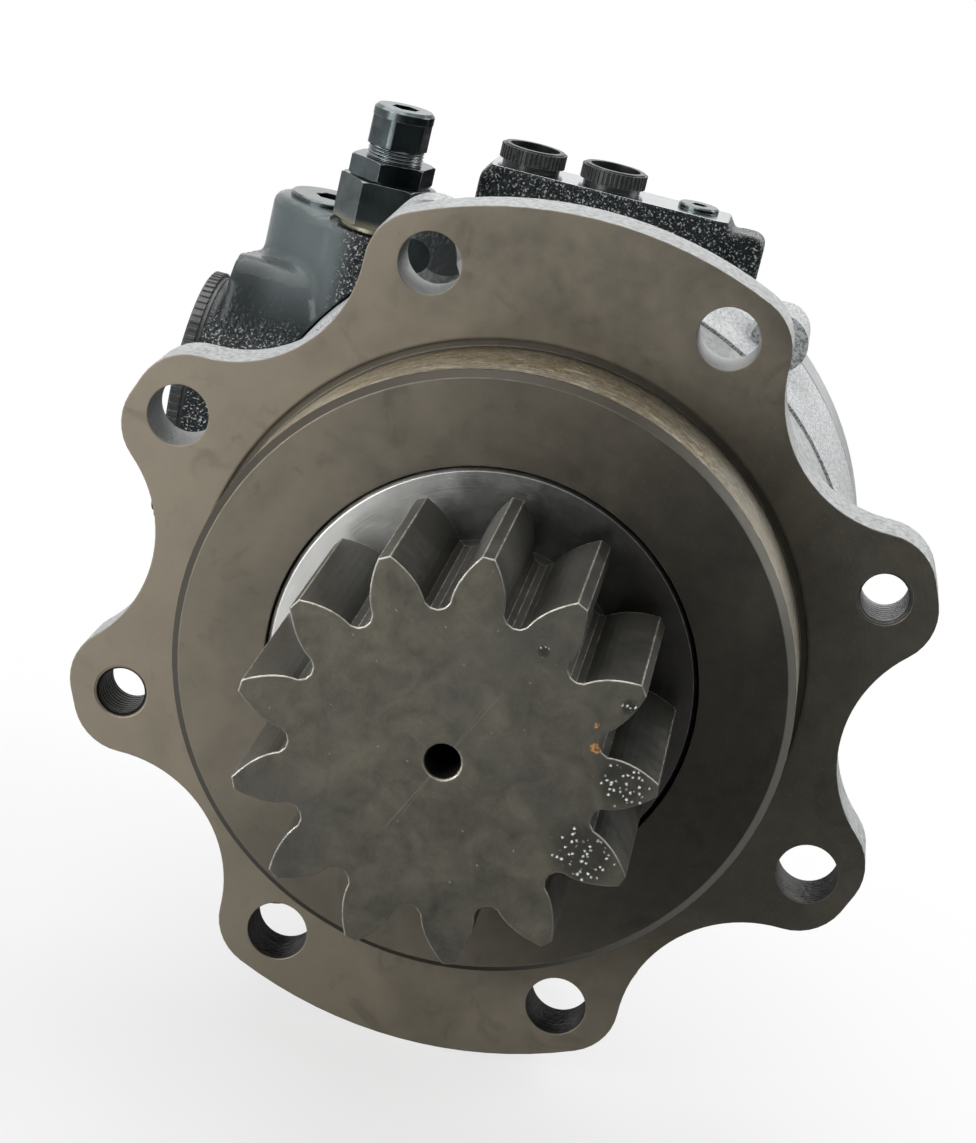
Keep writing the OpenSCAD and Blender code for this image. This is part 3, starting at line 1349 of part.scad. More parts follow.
flange_housing();
pinion_shaft();
seal_collar();
oil_seal();
front_bearing_cup();
front_bearing_cone();
front_bearing_rollers();
front_bearing_cage();
rear_bearing_cup();
rear_bearing_cone();
rear_bearing_rollers();
rear_bearing_cage();
bearing_nut();
planet_carrier();
planet_pins();
planet_washers();
planet_pin_rings();
planet_gear_1();
planet_gear_2();
planet_gear_3();
planet_bushes_1();
planet_bushes_2();
planet_bushes_3();
sun_gear();
ring_gear();
ring_gear_dowels();
motor_casing();
shaft_seal();
brake_housing();
casing_o_rings();
head_gasket();
ear_screws();
motor_shaft();
shaft_bearing_front();
shaft_balls_front();
shaft_bearing_rear();
shaft_balls_rear();
shaft_races();
swash_plate();
shoes();
retainer_plate();
ball_guide();
cylinder_block();
block_spring();
pistons();
valve_plate();
friction_discs();
brake_plates();
brake_piston();
brake_springs();
valve_head();
head_screws();
relief_body();
relief_lock_nut();
relief_adjuster();
check_plugs();
port_cap_a();
port_cap_b();
side_port_cap();
gauge_plug();
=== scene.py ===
"""Looks of an excavator swing motor: finishes, a soft casting, springs, light and camera.

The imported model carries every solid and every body. This script gives each solid its
finish, rebuilds the valve head with the soft edges that sand casting leaves and winds
the brake springs. Lengths are in metres unless a class says millimetres, the drive axis
is Y and the pinion reaches to -Y.
"""

import json
import logging
import math
from dataclasses import dataclass
from enum import Enum
from functools import cached_property
from typing import Union

import bpy
from mathutils import Matrix, Vector

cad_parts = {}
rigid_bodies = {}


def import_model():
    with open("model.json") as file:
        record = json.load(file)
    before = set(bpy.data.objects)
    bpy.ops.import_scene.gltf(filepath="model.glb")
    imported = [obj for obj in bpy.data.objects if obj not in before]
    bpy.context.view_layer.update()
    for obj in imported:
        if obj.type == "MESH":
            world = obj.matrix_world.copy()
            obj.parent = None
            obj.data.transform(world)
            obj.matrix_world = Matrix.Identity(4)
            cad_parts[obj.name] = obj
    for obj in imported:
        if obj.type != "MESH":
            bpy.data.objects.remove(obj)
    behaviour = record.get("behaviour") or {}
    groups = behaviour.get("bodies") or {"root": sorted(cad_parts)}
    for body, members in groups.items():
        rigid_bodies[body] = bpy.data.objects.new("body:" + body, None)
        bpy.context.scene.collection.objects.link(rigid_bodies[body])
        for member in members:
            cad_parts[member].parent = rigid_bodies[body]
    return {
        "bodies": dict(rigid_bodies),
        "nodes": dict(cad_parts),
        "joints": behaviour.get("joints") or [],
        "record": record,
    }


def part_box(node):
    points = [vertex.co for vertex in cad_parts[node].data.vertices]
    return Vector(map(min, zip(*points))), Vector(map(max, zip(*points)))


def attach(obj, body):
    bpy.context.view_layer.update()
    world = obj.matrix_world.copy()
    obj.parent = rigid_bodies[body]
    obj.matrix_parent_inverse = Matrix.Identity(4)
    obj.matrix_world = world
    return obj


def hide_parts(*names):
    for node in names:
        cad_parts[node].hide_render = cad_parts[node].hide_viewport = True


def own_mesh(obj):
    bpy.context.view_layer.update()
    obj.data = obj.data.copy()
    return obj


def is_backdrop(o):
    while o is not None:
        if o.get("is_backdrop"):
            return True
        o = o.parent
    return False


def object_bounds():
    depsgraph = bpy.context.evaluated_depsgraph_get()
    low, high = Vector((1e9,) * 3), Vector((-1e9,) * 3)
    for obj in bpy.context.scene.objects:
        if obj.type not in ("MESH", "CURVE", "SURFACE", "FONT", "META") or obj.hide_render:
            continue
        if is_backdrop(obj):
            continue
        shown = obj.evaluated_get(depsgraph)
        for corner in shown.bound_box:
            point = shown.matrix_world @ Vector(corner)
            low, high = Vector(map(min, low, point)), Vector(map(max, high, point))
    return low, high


LOG = logging.getLogger("swing_motor")
MM = 0.001
NUMBER = "NodeSocketFloat"
DIRECTION = "NodeSocketVector"
WHITE = (1.0, 1.0, 1.0)
RING_STREAKS = (0.35, 0.7)
#: Least cosine to a direction at which a face counts as square to it, and its play in mm.
FLAT, LEVEL_PLAY = 0.999, 0.05

Span = tuple[float, float]
Place = tuple[float, float, float]
Colour = tuple[float, float, float]
Node = bpy.types.Node
Socket = bpy.types.NodeSocket
Axes = tuple[Socket, Socket, Socket]
Value = Union[float, int, tuple, Socket]


@dataclass(frozen=True)
class Step:
    """A smooth change between two places, which are in millimetres."""

    low: float
    high: float
    start: float = 0.0
    end: float = 1.0


@dataclass(frozen=True)
class Patches:
    """Patches of noise: its features per metre, its layers and bend, and where it begins to show."""

    scale: float
    detail: float
    distortion: float
    low: float
    high: float
    most: float = 1.0


class Graph:
    """Short calls that add nodes to one tree and link them.

    Its place, axes and radius are the object coordinates, which most patterns read.
    """

    def __init__(self, tree: bpy.types.NodeTree) -> None:
        """Keeps the tree.

        Args:
            tree: The node tree to build in.
        """
        self.tree = tree

    def add(self, kind: str, inputs: dict | None = None, **options: object) -> Node:
        """Adds a node, sets its options, and sets or links its inputs.

        Args:
            kind: Blender's name of the node's type.
            inputs: Input names or numbers, and for each a value or a socket to link.
            options: Properties of the node.

        Returns:
            The new node.
        """
        node = self.tree.nodes.new(kind)
        for name, value in options.items():
            setattr(node, name, value)
        for name, value in (inputs or {}).items():
            self.feed(node.inputs[name], value)
        return node

    def feed(self, socket: Socket, value: Value) -> None:
        """Links a socket to another one, or sets its value.

        Args:
            socket: The input to fill.
            value: A number, a colour, a vector or an output socket.
        """
        if isinstance(value, bpy.types.NodeSocket):
            self.tree.links.new(value, socket)
        elif isinstance(value, tuple) and len(value) == 3 and socket.type == "RGBA":
            socket.default_value = (*value, 1.0)
        else:
            socket.default_value = value

    def math(self, operation: str, a: Value, b: Value = 0.0, clamp: bool = False) -> Socket:
        """Adds one sum, product or other operation on numbers.

        Args:
            operation: Blender's name of the operation.
            a: First operand.
            b: Second operand.
            clamp: Whether the result is kept between 0 and 1.

        Returns:
            The result.
        """
        node = self.add("ShaderNodeMath", {0: a, 1: b}, operation=operation, use_clamp=clamp)
        return node.outputs[0]

    def times(self, first: Value, *others: Value, clamp: bool = False) -> Socket:
        """Multiplies values from left to right; clamp keeps the result between 0 and 1."""
        return self.chain("MULTIPLY", first, others, clamp)

    def plus(self, first: Value, *others: Value, clamp: bool = False) -> Socket:
        """Adds values from left to right; clamp keeps the result between 0 and 1."""
        return self.chain("ADD", first, others, clamp)

    def chain(self, operation: str, first: Value, others: tuple, clamp: bool) -> Socket:
        """Repeats one operation over several values.

        Args:
            operation: Blender's name of the operation.
            first: First operand.
            others: The operands that follow.
            clamp: Whether the last result is kept between 0 and 1.

        Returns:
            The result.
        """
        *inner, last = others
        for value in inner:
            first = self.math(operation, first, value)
        return self.math(operation, first, last, clamp)

    def minus(self, a: Value, b: Value) -> Socket:
        """Subtracts the second value from the first."""
        return self.math("SUBTRACT", a, b)

    def rest(self, share: Value) -> Socket:
        """Gives what is missing from a share to one."""
        return self.minus(1.0, share)

    def most(self, a: Value, b: Value) -> Socket:
        """Gives the larger value."""
        return self.math("MAXIMUM", a, b)

    def stretch(self, factors: Place) -> Socket:
        """Multiplies each object coordinate by its own factor."""
        inputs = {0: self.place, 1: factors}
        return self.add("ShaderNodeVectorMath", inputs, operation="MULTIPLY").outputs[0]

    def ramp(self, value: Value, low: float, high: float, start: float = 0.0,
             end: float = 1.0) -> Socket:
        """Turns a range of a value smoothly into another range.

        Args:
            value: The value that is read.
            low: Where the step begins.
            high: Where the step ends.
            start: Result below low.
            end: Result above high.

        Returns:
            The result.
        """
        inputs = {"Value": value, "From Min": low, "From Max": high, "To Min": start, "To Max": end}
        node = self.add("ShaderNodeMapRange", inputs, interpolation_type="SMOOTHSTEP")
        return node.outputs[0]

    def mix(self, share: Value, a: Value, b: Value) -> Socket:
        """Mixes two colours.

        Args:
            share: How much of the second colour shows.
            a: First colour.
            b: Second colour.

        Returns:
            The mixed colour.
        """
        # This node has sockets for each kind of data; these are the ones for colours.
        inputs = {0: share, 6: a, 7: b}
        return self.add("ShaderNodeMix", inputs, data_type="RGBA").outputs[2]

    def noise(self, place: Value, scale: Value, detail: float = 2.0, distortion: float = 0.0) -> Socket:
        """Adds three-dimensional noise.

        Args:
            place: Where the noise is read.
            scale: Features per metre.
            detail: Number of finer layers.
            distortion: How much the noise is bent by itself.

        Returns:
            A value about 0.5.
        """
        inputs = {"Vector": place, "Scale": scale, "Detail": detail, "Distortion": distortion}
        return self.add("ShaderNodeTexNoise", inputs).outputs[0]

    def step(self, place: Value, step: Step) -> Socket:
        """Gives a smooth change between two places in millimetres."""
        return self.ramp(place, step.low * MM, step.high * MM, step.start, step.end)

    def patches(self, patches: Patches, place: Socket | None = None, share: float = 1.0) -> Socket:
        """Masks the patches where noise is high.

        Args:
            patches: Which patches.
            place: Where the noise is read, the object coordinates when nothing is given.
            share: Factor on the mask.

        Returns:
            The mask.
        """
        if place is None:
            place = self.place
        noise = self.noise(place, patches.scale, patches.detail, patches.distortion)
        return self.ramp(noise, patches.low, patches.high, 0.0, share * patches.most)

    def layers(self, colour: Value, *layers: tuple[Value, Value]) -> Value:
        """Lays colours over each other.

        Args:
            colour: What lies lowest.
            layers: A mask and a colour for each layer, from the lowest up.

        Returns:
            The colour that is seen.
        """
        for mask, coat in layers:
            colour = self.mix(mask, colour, coat)
        return colour

    @cached_property
    def place(self) -> Socket:
        """Gives the object coordinates."""
        return self.add("ShaderNodeTexCoord").outputs["Object"]

    @cached_property
    def axes(self) -> Axes:
        """Gives the object coordinates one by one."""
        return self.split(self.place)

    @cached_property
    def radius(self) -> Socket:
        """Gives the distance from the drive axis."""
        return self.length(self.axes[0], self.axes[2])

    @cached_property
    def facing(self) -> Socket:
        """Gives the surface's normal."""
        return self.add("ShaderNodeNewGeometry").outputs["Normal"]

    def split(self, vector: Socket) -> Axes:
        """Splits a vector into its three parts."""
        return tuple(self.add("ShaderNodeSeparateXYZ", {0: vector}).outputs)

    def length(self, a: Socket, b: Socket) -> Socket:
        """Gives the length of a step with two sides at right angles."""
        return self.math("SQRT", self.plus(self.times(a, a), self.times(b, b)))

    def use(self, effect: "Effect", inputs: dict) -> Node:
        """Places a shared effect.

        Args:
            effect: The effect to place.
            inputs: Its input values.

        Returns:
            The group's node.
        """
        return self.add("ShaderNodeGroup", inputs, node_tree=EFFECTS.tree(effect))

    def worn_edges(self, radius: float, amount: float, scale: float) -> tuple[Socket, Socket]:
        """Rounds and wears the edges.

        Args:
            radius: Radius of the rounding.
            amount: How much of the worn tone shows.
            scale: Worn patches per metre.

        Returns:
            The mask of the wear and the rounded normal.
        """
        inputs = {"Radius": radius, "Amount": amount, "Patch Scale": scale}
        outputs = self.use(Effect.EDGE_WEAR, inputs).outputs
        return outputs["Mask"], outputs["Normal"]

    def clouds(self, scale: float, contrast: float = 1.0) -> Socket:
        """Masks clouds of tone, given by how many there are per metre and their contrast."""
        return self.use(Effect.MOTTLE, {"Scale": scale, "Contrast": contrast}).outputs["Mask"]

    def dust(self, amount: float) -> Socket:
        """Masks dust on what looks up."""
        return self.use(Effect.DUST, {"Amount": amount}).outputs["Mask"]


class Effect(Enum):
    """Effects that more than one finish uses."""

    EDGE_WEAR = "edge_wear"
    CAST_GRAIN = "cast_grain"
    TURNING_MARKS = "turning_marks"
    MOTTLE = "mottle"
    DUST = "dust"


class EffectLibrary:
    """Builds each shared effect once, as a shader node group."""

    edge_bend: Span = (0.01, 0.12)
    edge_patch: Span = (0.38, 0.62)
    edge_least: float = 0.3
    cell_scale: float = 0.8
    cell_share: float = -0.7
    wave_scale: float = 0.12
    wave_share: float = 1.4
    pit_range: Span = (0.25, 0.7)
    drift_scale: float = 40.0
    drift_share: float = 1.5
    speck_scale: float = 9.0
    cloud_share: float = 0.75
    mottle_gain: float = 3.0
    dust_slope: Span = (0.2, 0.95)
    dust_patches: Patches = Patches(160.0, 5.0, 0.0, 0.42, 0.66)

    def __init__(self) -> None:
        """Starts with no groups."""
        self._trees: dict[Effect, bpy.types.NodeTree] = {}

    def tree(self, effect: Effect) -> bpy.types.NodeTree:
        """Gives the group of an effect, and builds it at first use.

        Args:
            effect: Which effect.

        Returns:
            Its node tree.
        """
        if effect not in self._trees:
            self._trees[effect] = getattr(self, f"_{effect.value}")()
        return self._trees[effect]

    @staticmethod
    def _start(name: str, inputs: dict[str, float], outputs: dict[str, str]) -> tuple:
        """Makes an empty group with its sockets.

        Args:
            name: Name of the group.
            inputs: Input names with their first values.
            outputs: Output names with their kinds.

        Returns:
            The graph, and the sockets that it reads and fills.
        """
        tree = bpy.data.node_groups.new(name, "ShaderNodeTree")
        for label, first in inputs.items():
            socket = tree.interface.new_socket(name=label, in_out="INPUT", socket_type=NUMBER)
            socket.default_value = first
        for label, kind in outputs.items():
            tree.interface.new_socket(name=label, in_out="OUTPUT", socket_type=kind)
        graph = Graph(tree)
        return graph, graph.add("NodeGroupInput").outputs, graph.add("NodeGroupOutput").inputs

    def _edge_wear(self) -> bpy.types.NodeTree:
        """Rounds edges in the normal and masks where paint or scale is rubbed off."""
        graph, given, out = self._start(
            "edge_wear", {"Radius": 0.5 * MM, "Amount": 0.6, "Patch Scale": 300.0},
            {"Mask": NUMBER, "Normal": DIRECTION})
        bevel = graph.add("ShaderNodeBevel", {"Radius": given["Radius"]}, samples=6).outputs[0]
        inputs = {0: bevel, 1: graph.facing}
        turn = graph.add("ShaderNodeVectorMath", inputs, operation="DOT_PRODUCT").outputs["Value"]
        bend = graph.ramp(graph.rest(turn), *self.edge_bend)
        patch = graph.ramp(graph.noise(graph.place, given["Patch Scale"], detail=4.0), *self.edge_patch)
        share = graph.times(bend, graph.plus(graph.times(patch, 1.0 - self.edge_least), self.edge_least))
        graph.feed(out["Mask"], graph.times(share, given["Amount"], clamp=True))
        graph.feed(out["Normal"], bevel)
        return graph.tree

    def _cast_grain(self) -> bpy.types.NodeTree:
        """Gives the pebbled height that sand leaves on a casting."""
        graph, given, out = self._start(
            "cast_grain", {"Scale": 700.0, "Depth": 0.2 * MM}, {"Height": NUMBER, "Pits": NUMBER})
        scale = given["Scale"]
        lumps = graph.noise(graph.place, scale, detail=2.0, distortion=0.6)
        inputs = {"Vector": graph.place, "Scale": graph.times(scale, self.cell_scale)}
        cells = graph.add("ShaderNodeTexVoronoi", inputs, feature="SMOOTH_F1").outputs["Distance"]
        waves = graph.noise(graph.place, graph.times(scale, self.wave_scale), detail=2.0)
        total = graph.plus(lumps, graph.times(cells, self.cell_share), graph.times(waves, self.wave_share))
        graph.feed(out["Height"], graph.times(total, given["Depth"]))
        graph.feed(out["Pits"], graph.ramp(cells, *self.pit_range))
        return graph.tree

    def _turning_marks(self) -> bpy.types.NodeTree:
        """Gives the fine rings that a lathe leaves about the drive axis."""
        graph, given, out = self._start(
            "turning_marks", {"Scale": 2500.0, "Depth": 0.01 * MM}, {"Height": NUMBER, "Streak": NUMBER})
        across = graph.times(graph.radius, given["Scale"])
        along = graph.times(graph.axes[1], given["Scale"])
        drift = graph.times(graph.noise(graph.place, self.drift_scale), self.drift_share)
        inputs = {"W": graph.plus(across, along, drift), "Scale": 1.0, "Detail": 3.0}
        rings = graph.add("ShaderNodeTexNoise", inputs, noise_dimensions="1D").outputs[0]
        graph.feed(out["Height"], graph.times(rings, given["Depth"]))
        graph.feed(out["Streak"], rings)
        return graph.tree

    def _mottle(self) -> bpy.types.NodeTree:
        """Gives the clouds of phosphate, oil and handling marks."""
        graph, given, out = self._start("mottle", {"Scale": 30.0, "Contrast": 1.0}, {"Mask": NUMBER})
        clouds = graph.noise(graph.place, given["Scale"], detail=6.0, distortion=0.8)
        specks = graph.noise(graph.place, graph.times(given["Scale"], self.speck_scale), detail=3.0)
        total = graph.plus(graph.times(clouds, self.cloud_share),
                           graph.times(specks, 1.0 - self.cloud_share))
        spread = graph.times(graph.minus(total, 0.5), given["Contrast"])
        graph.feed(out["Mask"], graph.plus(graph.times(spread, self.mottle_gain), 0.5, clamp=True))
        return graph.tree

    def _dust(self) -> bpy.types.NodeTree:
        """Gives light dust that lies on faces that look up."""
        graph, given, out = self._start("dust", {"Amount": 0.3}, {"Mask": NUMBER})
        up = graph.ramp(graph.split(graph.facing)[2], *self.dust_slope)
        patch = graph.patches(self.dust_patches)
        graph.feed(out["Mask"], graph.times(up, patch, given["Amount"], clamp=True))
        return graph.tree


EFFECTS = EffectLibrary()


@dataclass(frozen=True)
class Finish:
    """Base of every finish: a name, and a Principled BSDF with what all share."""

    name: str

    def material(self) -> bpy.types.Material:
        """Builds the material, or gives it when it is there already.

        Returns:
            The material.
        """
        label = f"{self.name}_finish"
        found = bpy.data.materials.get(label)
        if found:
            return found
        made = bpy.data.materials.new(label)
        made.use_nodes = True
        graph = Graph(made.node_tree)
        self.paint(graph, made.node_tree.nodes["Principled BSDF"])
        return made

    def paint(self, graph: Graph, shader: Node) -> None:
        """Adds the finish's own nodes.

        Args:
            graph: Graph of the material.
            shader: Its Principled BSDF.
        """
        raise NotImplementedError

    @staticmethod
    def set_shader(graph: Graph, shader: Node, **inputs: Value) -> None:
        """Fills shader sockets, whose spaces are written as underscores.

        Args:
            graph: Graph of the material.
            shader: Its Principled BSDF.
            inputs: Values or sockets by name.
        """
        for name, value in inputs.items():
            graph.feed(shader.inputs[name.replace("_", " ")], value)

    @staticmethod
    def bump(graph: Graph, height: Socket, normal: Value, strength: float = 1.0) -> Socket:
        """Adds a bump whose height is in metres.

        Args:
            graph: Graph of the material.
            height: The height.
            normal: The normal to start from.
            strength: Share of the effect.

        Returns:
            The bent normal.
        """
        inputs = {"Strength": strength, "Distance": 1.0, "Height": height, "Normal": normal}
        return graph.add("ShaderNodeBump", inputs).outputs[0]


@dataclass(frozen=True)
class SmoothPaint:
    """The valve head's upper left, where the paint lies thick and smooth and its tone is painted light and
    shade.
    """

    top: Step = Step(40, 56)
    side: Step = Step(-78, -86)
    knob_side: Step = Step(-100, -110)
    knob_top: Step = Step(64, 70, 0.85, 0.0)
    rise: Step = Step(46, 72)
    shaded_colour: Colour = (0.028, 0.034, 0.035)
    lit_colour: Colour = (0.135, 0.16, 0.162)
    share: float = 0.85
    grain_left: float = 0.16

    def mask(self, graph: Graph) -> Socket:
        """Gives one where the paint is smooth."""
        x, _, z = graph.axes
        return graph.times(graph.step(z, self.top), graph.step(x, self.side))

    def tone(self, graph: Graph) -> Socket:
        """Gives the smooth paint's colour: a painted reflection lightens it upwards, and painted shade
        keeps the knob dark.
        """
        x, _, z = graph.axes
        knob = graph.times(graph.step(x, self.knob_side), graph.step(z, self.knob_top))
        lift = graph.times(graph.step(z, self.rise), graph.rest(knob))
        return graph.mix(lift, self.shaded_colour, self.lit_colour)


@dataclass(frozen=True)
class CastPaint(Finish):
    """Paint over a sand casting, with level faces above bare_above left as bare metal."""

    colour: Colour
    deep_colour: Colour
    worn_colour: Colour
    grain_scale: float
    grain_depth: float
    roughness: float
    metallic: float = 0.0
    wear: float = 0.5
    edge_radius: float = 1.2 * MM
    bare_above: float = 9.0
    smooth: SmoothPaint | None = None
    sparkle: float = 0.0
    specular: float = 0.5
    speckle: float = 0.0
    speck_colour: Colour = (0.20, 0.21, 0.215)
    dust_colour: Colour = (0.42, 0.41, 0.38)
    bare_colour: Colour = (0.5, 0.51, 0.52)
    glint_colour: Colour = (0.52, 0.54, 0.54)
    dust: float = 0.08
    pit_share: float = 0.35
    rough_spread: float = 0.14
    rough_drop: float = 0.05
    bare_blend: float = 0.1 * MM
    bare_flatness: float = 0.95
    metal_range: Span = (0.4, 0.6)
    level_normal: Span = (0.9, 0.98)
    glints: Patches = Patches(1250.0, 1.0, 0.4, 0.59, 0.67)
    specks: Patches = Patches(1300.0, 2.0, 0.0, 0.43, 0.60)

    def paint(self, graph: Graph, shader: Node) -> None:
        """Paints the casting."""
        worn, normal = graph.worn_edges(self.edge_radius, self.wear, scale=240.0)
        grain = graph.use(Effect.CAST_GRAIN, {"Scale": self.grain_scale, "Depth": self.grain_depth})
        mottle = graph.clouds(scale=45.0)
        level = graph.ramp(graph.split(graph.facing)[2], *self.level_normal)
        above = graph.ramp(graph.axes[2], self.bare_above, self.bare_above + self.bare_blend)
        bare = graph.times(above, level)
        colour = graph.layers(
            graph.mix(mottle, self.deep_colour, self.colour),
            (graph.times(grain.outputs["Pits"], self.pit_share), self.deep_colour),
            (worn, self.worn_colour),
            (graph.dust(self.dust), self.dust_colour),
            (bare, self.bare_colour),
            (graph.patches(self.specks, share=self.speckle), self.speck_colour))
        metallic = graph.ramp(bare, *self.metal_range, self.metallic, 1.0)
        flat = graph.times(bare, self.bare_flatness)
        height = graph.times(grain.outputs["Height"], graph.rest(flat))
        # Painted highlight: small light specks on the grain's tips stand in for glints.
        glints = graph.patches(self.glints)
        if self.smooth:
            smooth = self.smooth.mask(graph)
            height = graph.times(height, graph.ramp(smooth, 0.0, 1.0, 1.0, self.smooth.grain_left))
            glints = graph.times(glints, graph.rest(smooth))
            # The smooth paint's tone is painted light and shade.
            share = graph.times(smooth, self.smooth.share)
            colour = graph.mix(share, colour, self.smooth.tone(graph))
        colour = graph.mix(graph.times(glints, self.sparkle), colour, self.glint_colour)
        rough = graph.plus(graph.times(mottle, self.rough_spread), self.roughness - self.rough_drop,
                           clamp=True)
        self.set_shader(graph, shader, Base_Color=colour, Metallic=metallic, Roughness=rough,
                        Specular_IOR_Level=self.specular, Normal=self.bump(graph, height, normal))


@dataclass(frozen=True)
class FlangeIron(Finish):
    """Flange housing: phosphated machined front, painted rough rear."""

    light: Colour = (0.29, 0.255, 0.195)
    dark: Colour = (0.081, 0.076, 0.061)
    smudged: Colour = (0.05, 0.042, 0.03)
    rubbed: Colour = (0.36, 0.33, 0.27)
    worn: Colour = (0.40, 0.37, 0.30)
    face_shadow: Colour = (0.004, 0.0035, 0.003)
    oil_stain: Colour = (0.16, 0.115, 0.05)
    painted_highlight: Colour = (0.62, 0.55, 0.44)
    side_reflection: Colour = (0.46, 0.44, 0.38)
    foot_shade: Colour = (0.05, 0.046, 0.038)
    rim_left: Colour = (0.022, 0.019, 0.014)
    rim_right: Colour = (0.20, 0.195, 0.17)
    silver: Colour = (0.50, 0.515, 0.515)
    silver_pits: Colour = (0.20, 0.21, 0.215)
    silver_clouds: Colour = (0.40, 0.40, 0.38)
    hole_shaded: Colour = (0.09, 0.095, 0.095)
    hole_lit: Colour = (0.46, 0.47, 0.46)
    hole_dark: Colour = (0.025, 0.024, 0.02)
    behind_hole_shadow: Colour = (0.035, 0.042, 0.044)

    front_edge: Step = Step(0.25, 0.6, 1.0, 0.0)
    groove_wall: Step = Step(92.0, 92.3, 1.0, 0.0)
    groove_floor: Step = Step(3.0, 3.4, 1.0, 0.0)
    lower_light: Step = Step(-125, -50, 0.48, 0.0)
    boss_start: Step = Step(-0.6, -0.2, 1.0, 0.0)
    boss_wall: Step = Step(87.2, 87.4)
    boss_face: Step = Step(84.9, 85.6, 1.0, 0.0)
    face_shade: Step = Step(-80, 80, 0.2, 0.56)
    side_light: Step = Step(20, 80, 0.0, 0.5)
    foot_inner: Step = Step(86.9, 87.4)
    foot_outer: Step = Step(89.9, 90.6, 1.0, 0.0)
    foot_depth: Step = Step(-5, -0.5, 0.0, 0.6)
    rim_radius: Step = Step(85.1, 85.5)
    rim_depth: Step = Step(-30.9, -30.5, 1.0, 0.0)
    rim_side: Step = Step(15, 75)
    hole_height: Step = Step(-10, 60)
    hole_wall: Step = Step(9.2, 9.6, 1.0, 0.0)
    behind_reach: Step = Step(13, 16, 1.0, 0.0)
    behind_side: Step = Step(-152, -136, 0.85, 0.4)
    behind_depth: Step = Step(18.6, 19.6)
    thread_bore: Step = Step(7.4, 7.8, 1.0, 0.0)

    smudge: Patches = Patches(60.0, 5.0, 1.6, 0.56, 0.74, 0.26)
    rub: Patches = Patches(900.0, 3.0, 0.0, 0.56, 0.78, 0.14)
    crust: Patches = Patches(480.0, 4.0, 0.8, 0.38, 0.66)
    drip: Patches = Patches(1.6, 5.0, 0.6, 0.3, 0.62)
    drip_stretch: Place = (30.0, 90.0, 30.0)
    shine: Patches = Patches(1.0, 4.0, 0.5, 0.58, 0.68, 0.6)
    shine_stretch: Place = (120.0, 500.0, 120.0)

    # The light_ numbers and lower_light set a painted light gradient on the plate.
    light_across: float = -4.2
    light_up: float = 0.3
    light_base: float = 0.42
    light_clouds: float = 0.34
    light_range: Span = (-0.1, 1.25)
    streak_share: float = 0.05
    rim_share: float = 0.85
    crust_share: float = 0.55
    crust_height: float = 0.25 * MM
    pit_share: float = 0.7
    cloud_share: float = 0.25
    up_range: Span = (-0.1, 0.85)
    metallic: Span = (0.25, 0.55)
    rough_spread: float = 0.16
    rough_least: float = 0.36
    jack_angles: Span = (22.5, 202.5)
    bolt_circle: float = 112.2 * MM
    hole_spacing: float = math.pi / 4
    thread_pitch: float = 2.0 * MM
    thread_height: float = 0.5 * MM

    def paint(self, graph: Graph, shader: Node) -> None:
        """Paints the machined front and the cast rear."""
        y = graph.axes[1]
        worn, normal = graph.worn_edges(radius=0.5 * MM, amount=0.7, scale=200.0)
        turning = graph.use(Effect.TURNING_MARKS, {"Scale": 2200.0, "Depth": 0.006 * MM})
        mottle = graph.clouds(scale=26.0, contrast=1.15)
        grain = graph.use(Effect.CAST_GRAIN, {"Scale": 900.0, "Depth": 0.42 * MM})
        groove = graph.times(graph.step(graph.radius, self.groove_wall),
                             graph.step(y, self.groove_floor))
        front = graph.most(graph.step(y, self.front_edge), groove)
        on_boss = graph.step(y, self.boss_start)
        side = graph.times(on_boss, graph.step(graph.radius, self.boss_wall))
        crust = graph.patches(self.crust)

        plate = self.plate_colour(graph, mottle, turning.outputs["Streak"])
        boss = self.boss_layers(graph, on_boss, side, crust)
        phosphate = graph.layers(plate, *boss, (worn, self.worn))
        silver = self.rear_colour(graph, grain.outputs["Pits"], mottle)
        cast_height = graph.times(grain.outputs["Height"], graph.rest(front))
        height = graph.plus(cast_height, graph.times(turning.outputs["Height"], front),
                            self.threads(graph), graph.times(side, crust, self.crust_height))
        self.set_shader(graph, shader, Base_Color=graph.mix(front, silver, phosphate),
                        Metallic=graph.ramp(front, 0.0, 1.0, *self.metallic),
                        Roughness=graph.plus(graph.times(mottle, self.rough_spread), self.rough_least),
                        Normal=self.bump(graph, height, normal))

    def plate_colour(self, graph: Graph, mottle: Socket, rings: Socket) -> Socket:
        """Gives the phosphate's colour: painted light makes it lighter to the left and at the bottom; it
        is smudged and rubbed.

        Args:
            graph: Graph of the material.
            mottle: Clouds in the tone.
            rings: Streaks that the lathe left.

        Returns:
            The colour.
        """
        x, _, z = graph.axes
        # Painted light: the plate is lighter to the left and at the bottom and darker to the right.
        slope = graph.plus(graph.times(x, self.light_across), graph.times(z, self.light_up))
        lit = graph.plus(slope, self.light_base, graph.times(mottle, self.light_clouds),
                         graph.step(z, self.lower_light))
        streak = graph.times(graph.ramp(rings, *RING_STREAKS), self.streak_share)
        return graph.layers(
            graph.mix(graph.ramp(lit, *self.light_range), self.dark, self.light),
            (streak, self.light),
            (graph.patches(self.smudge), self.smudged),
            (graph.patches(self.rub), self.rubbed))

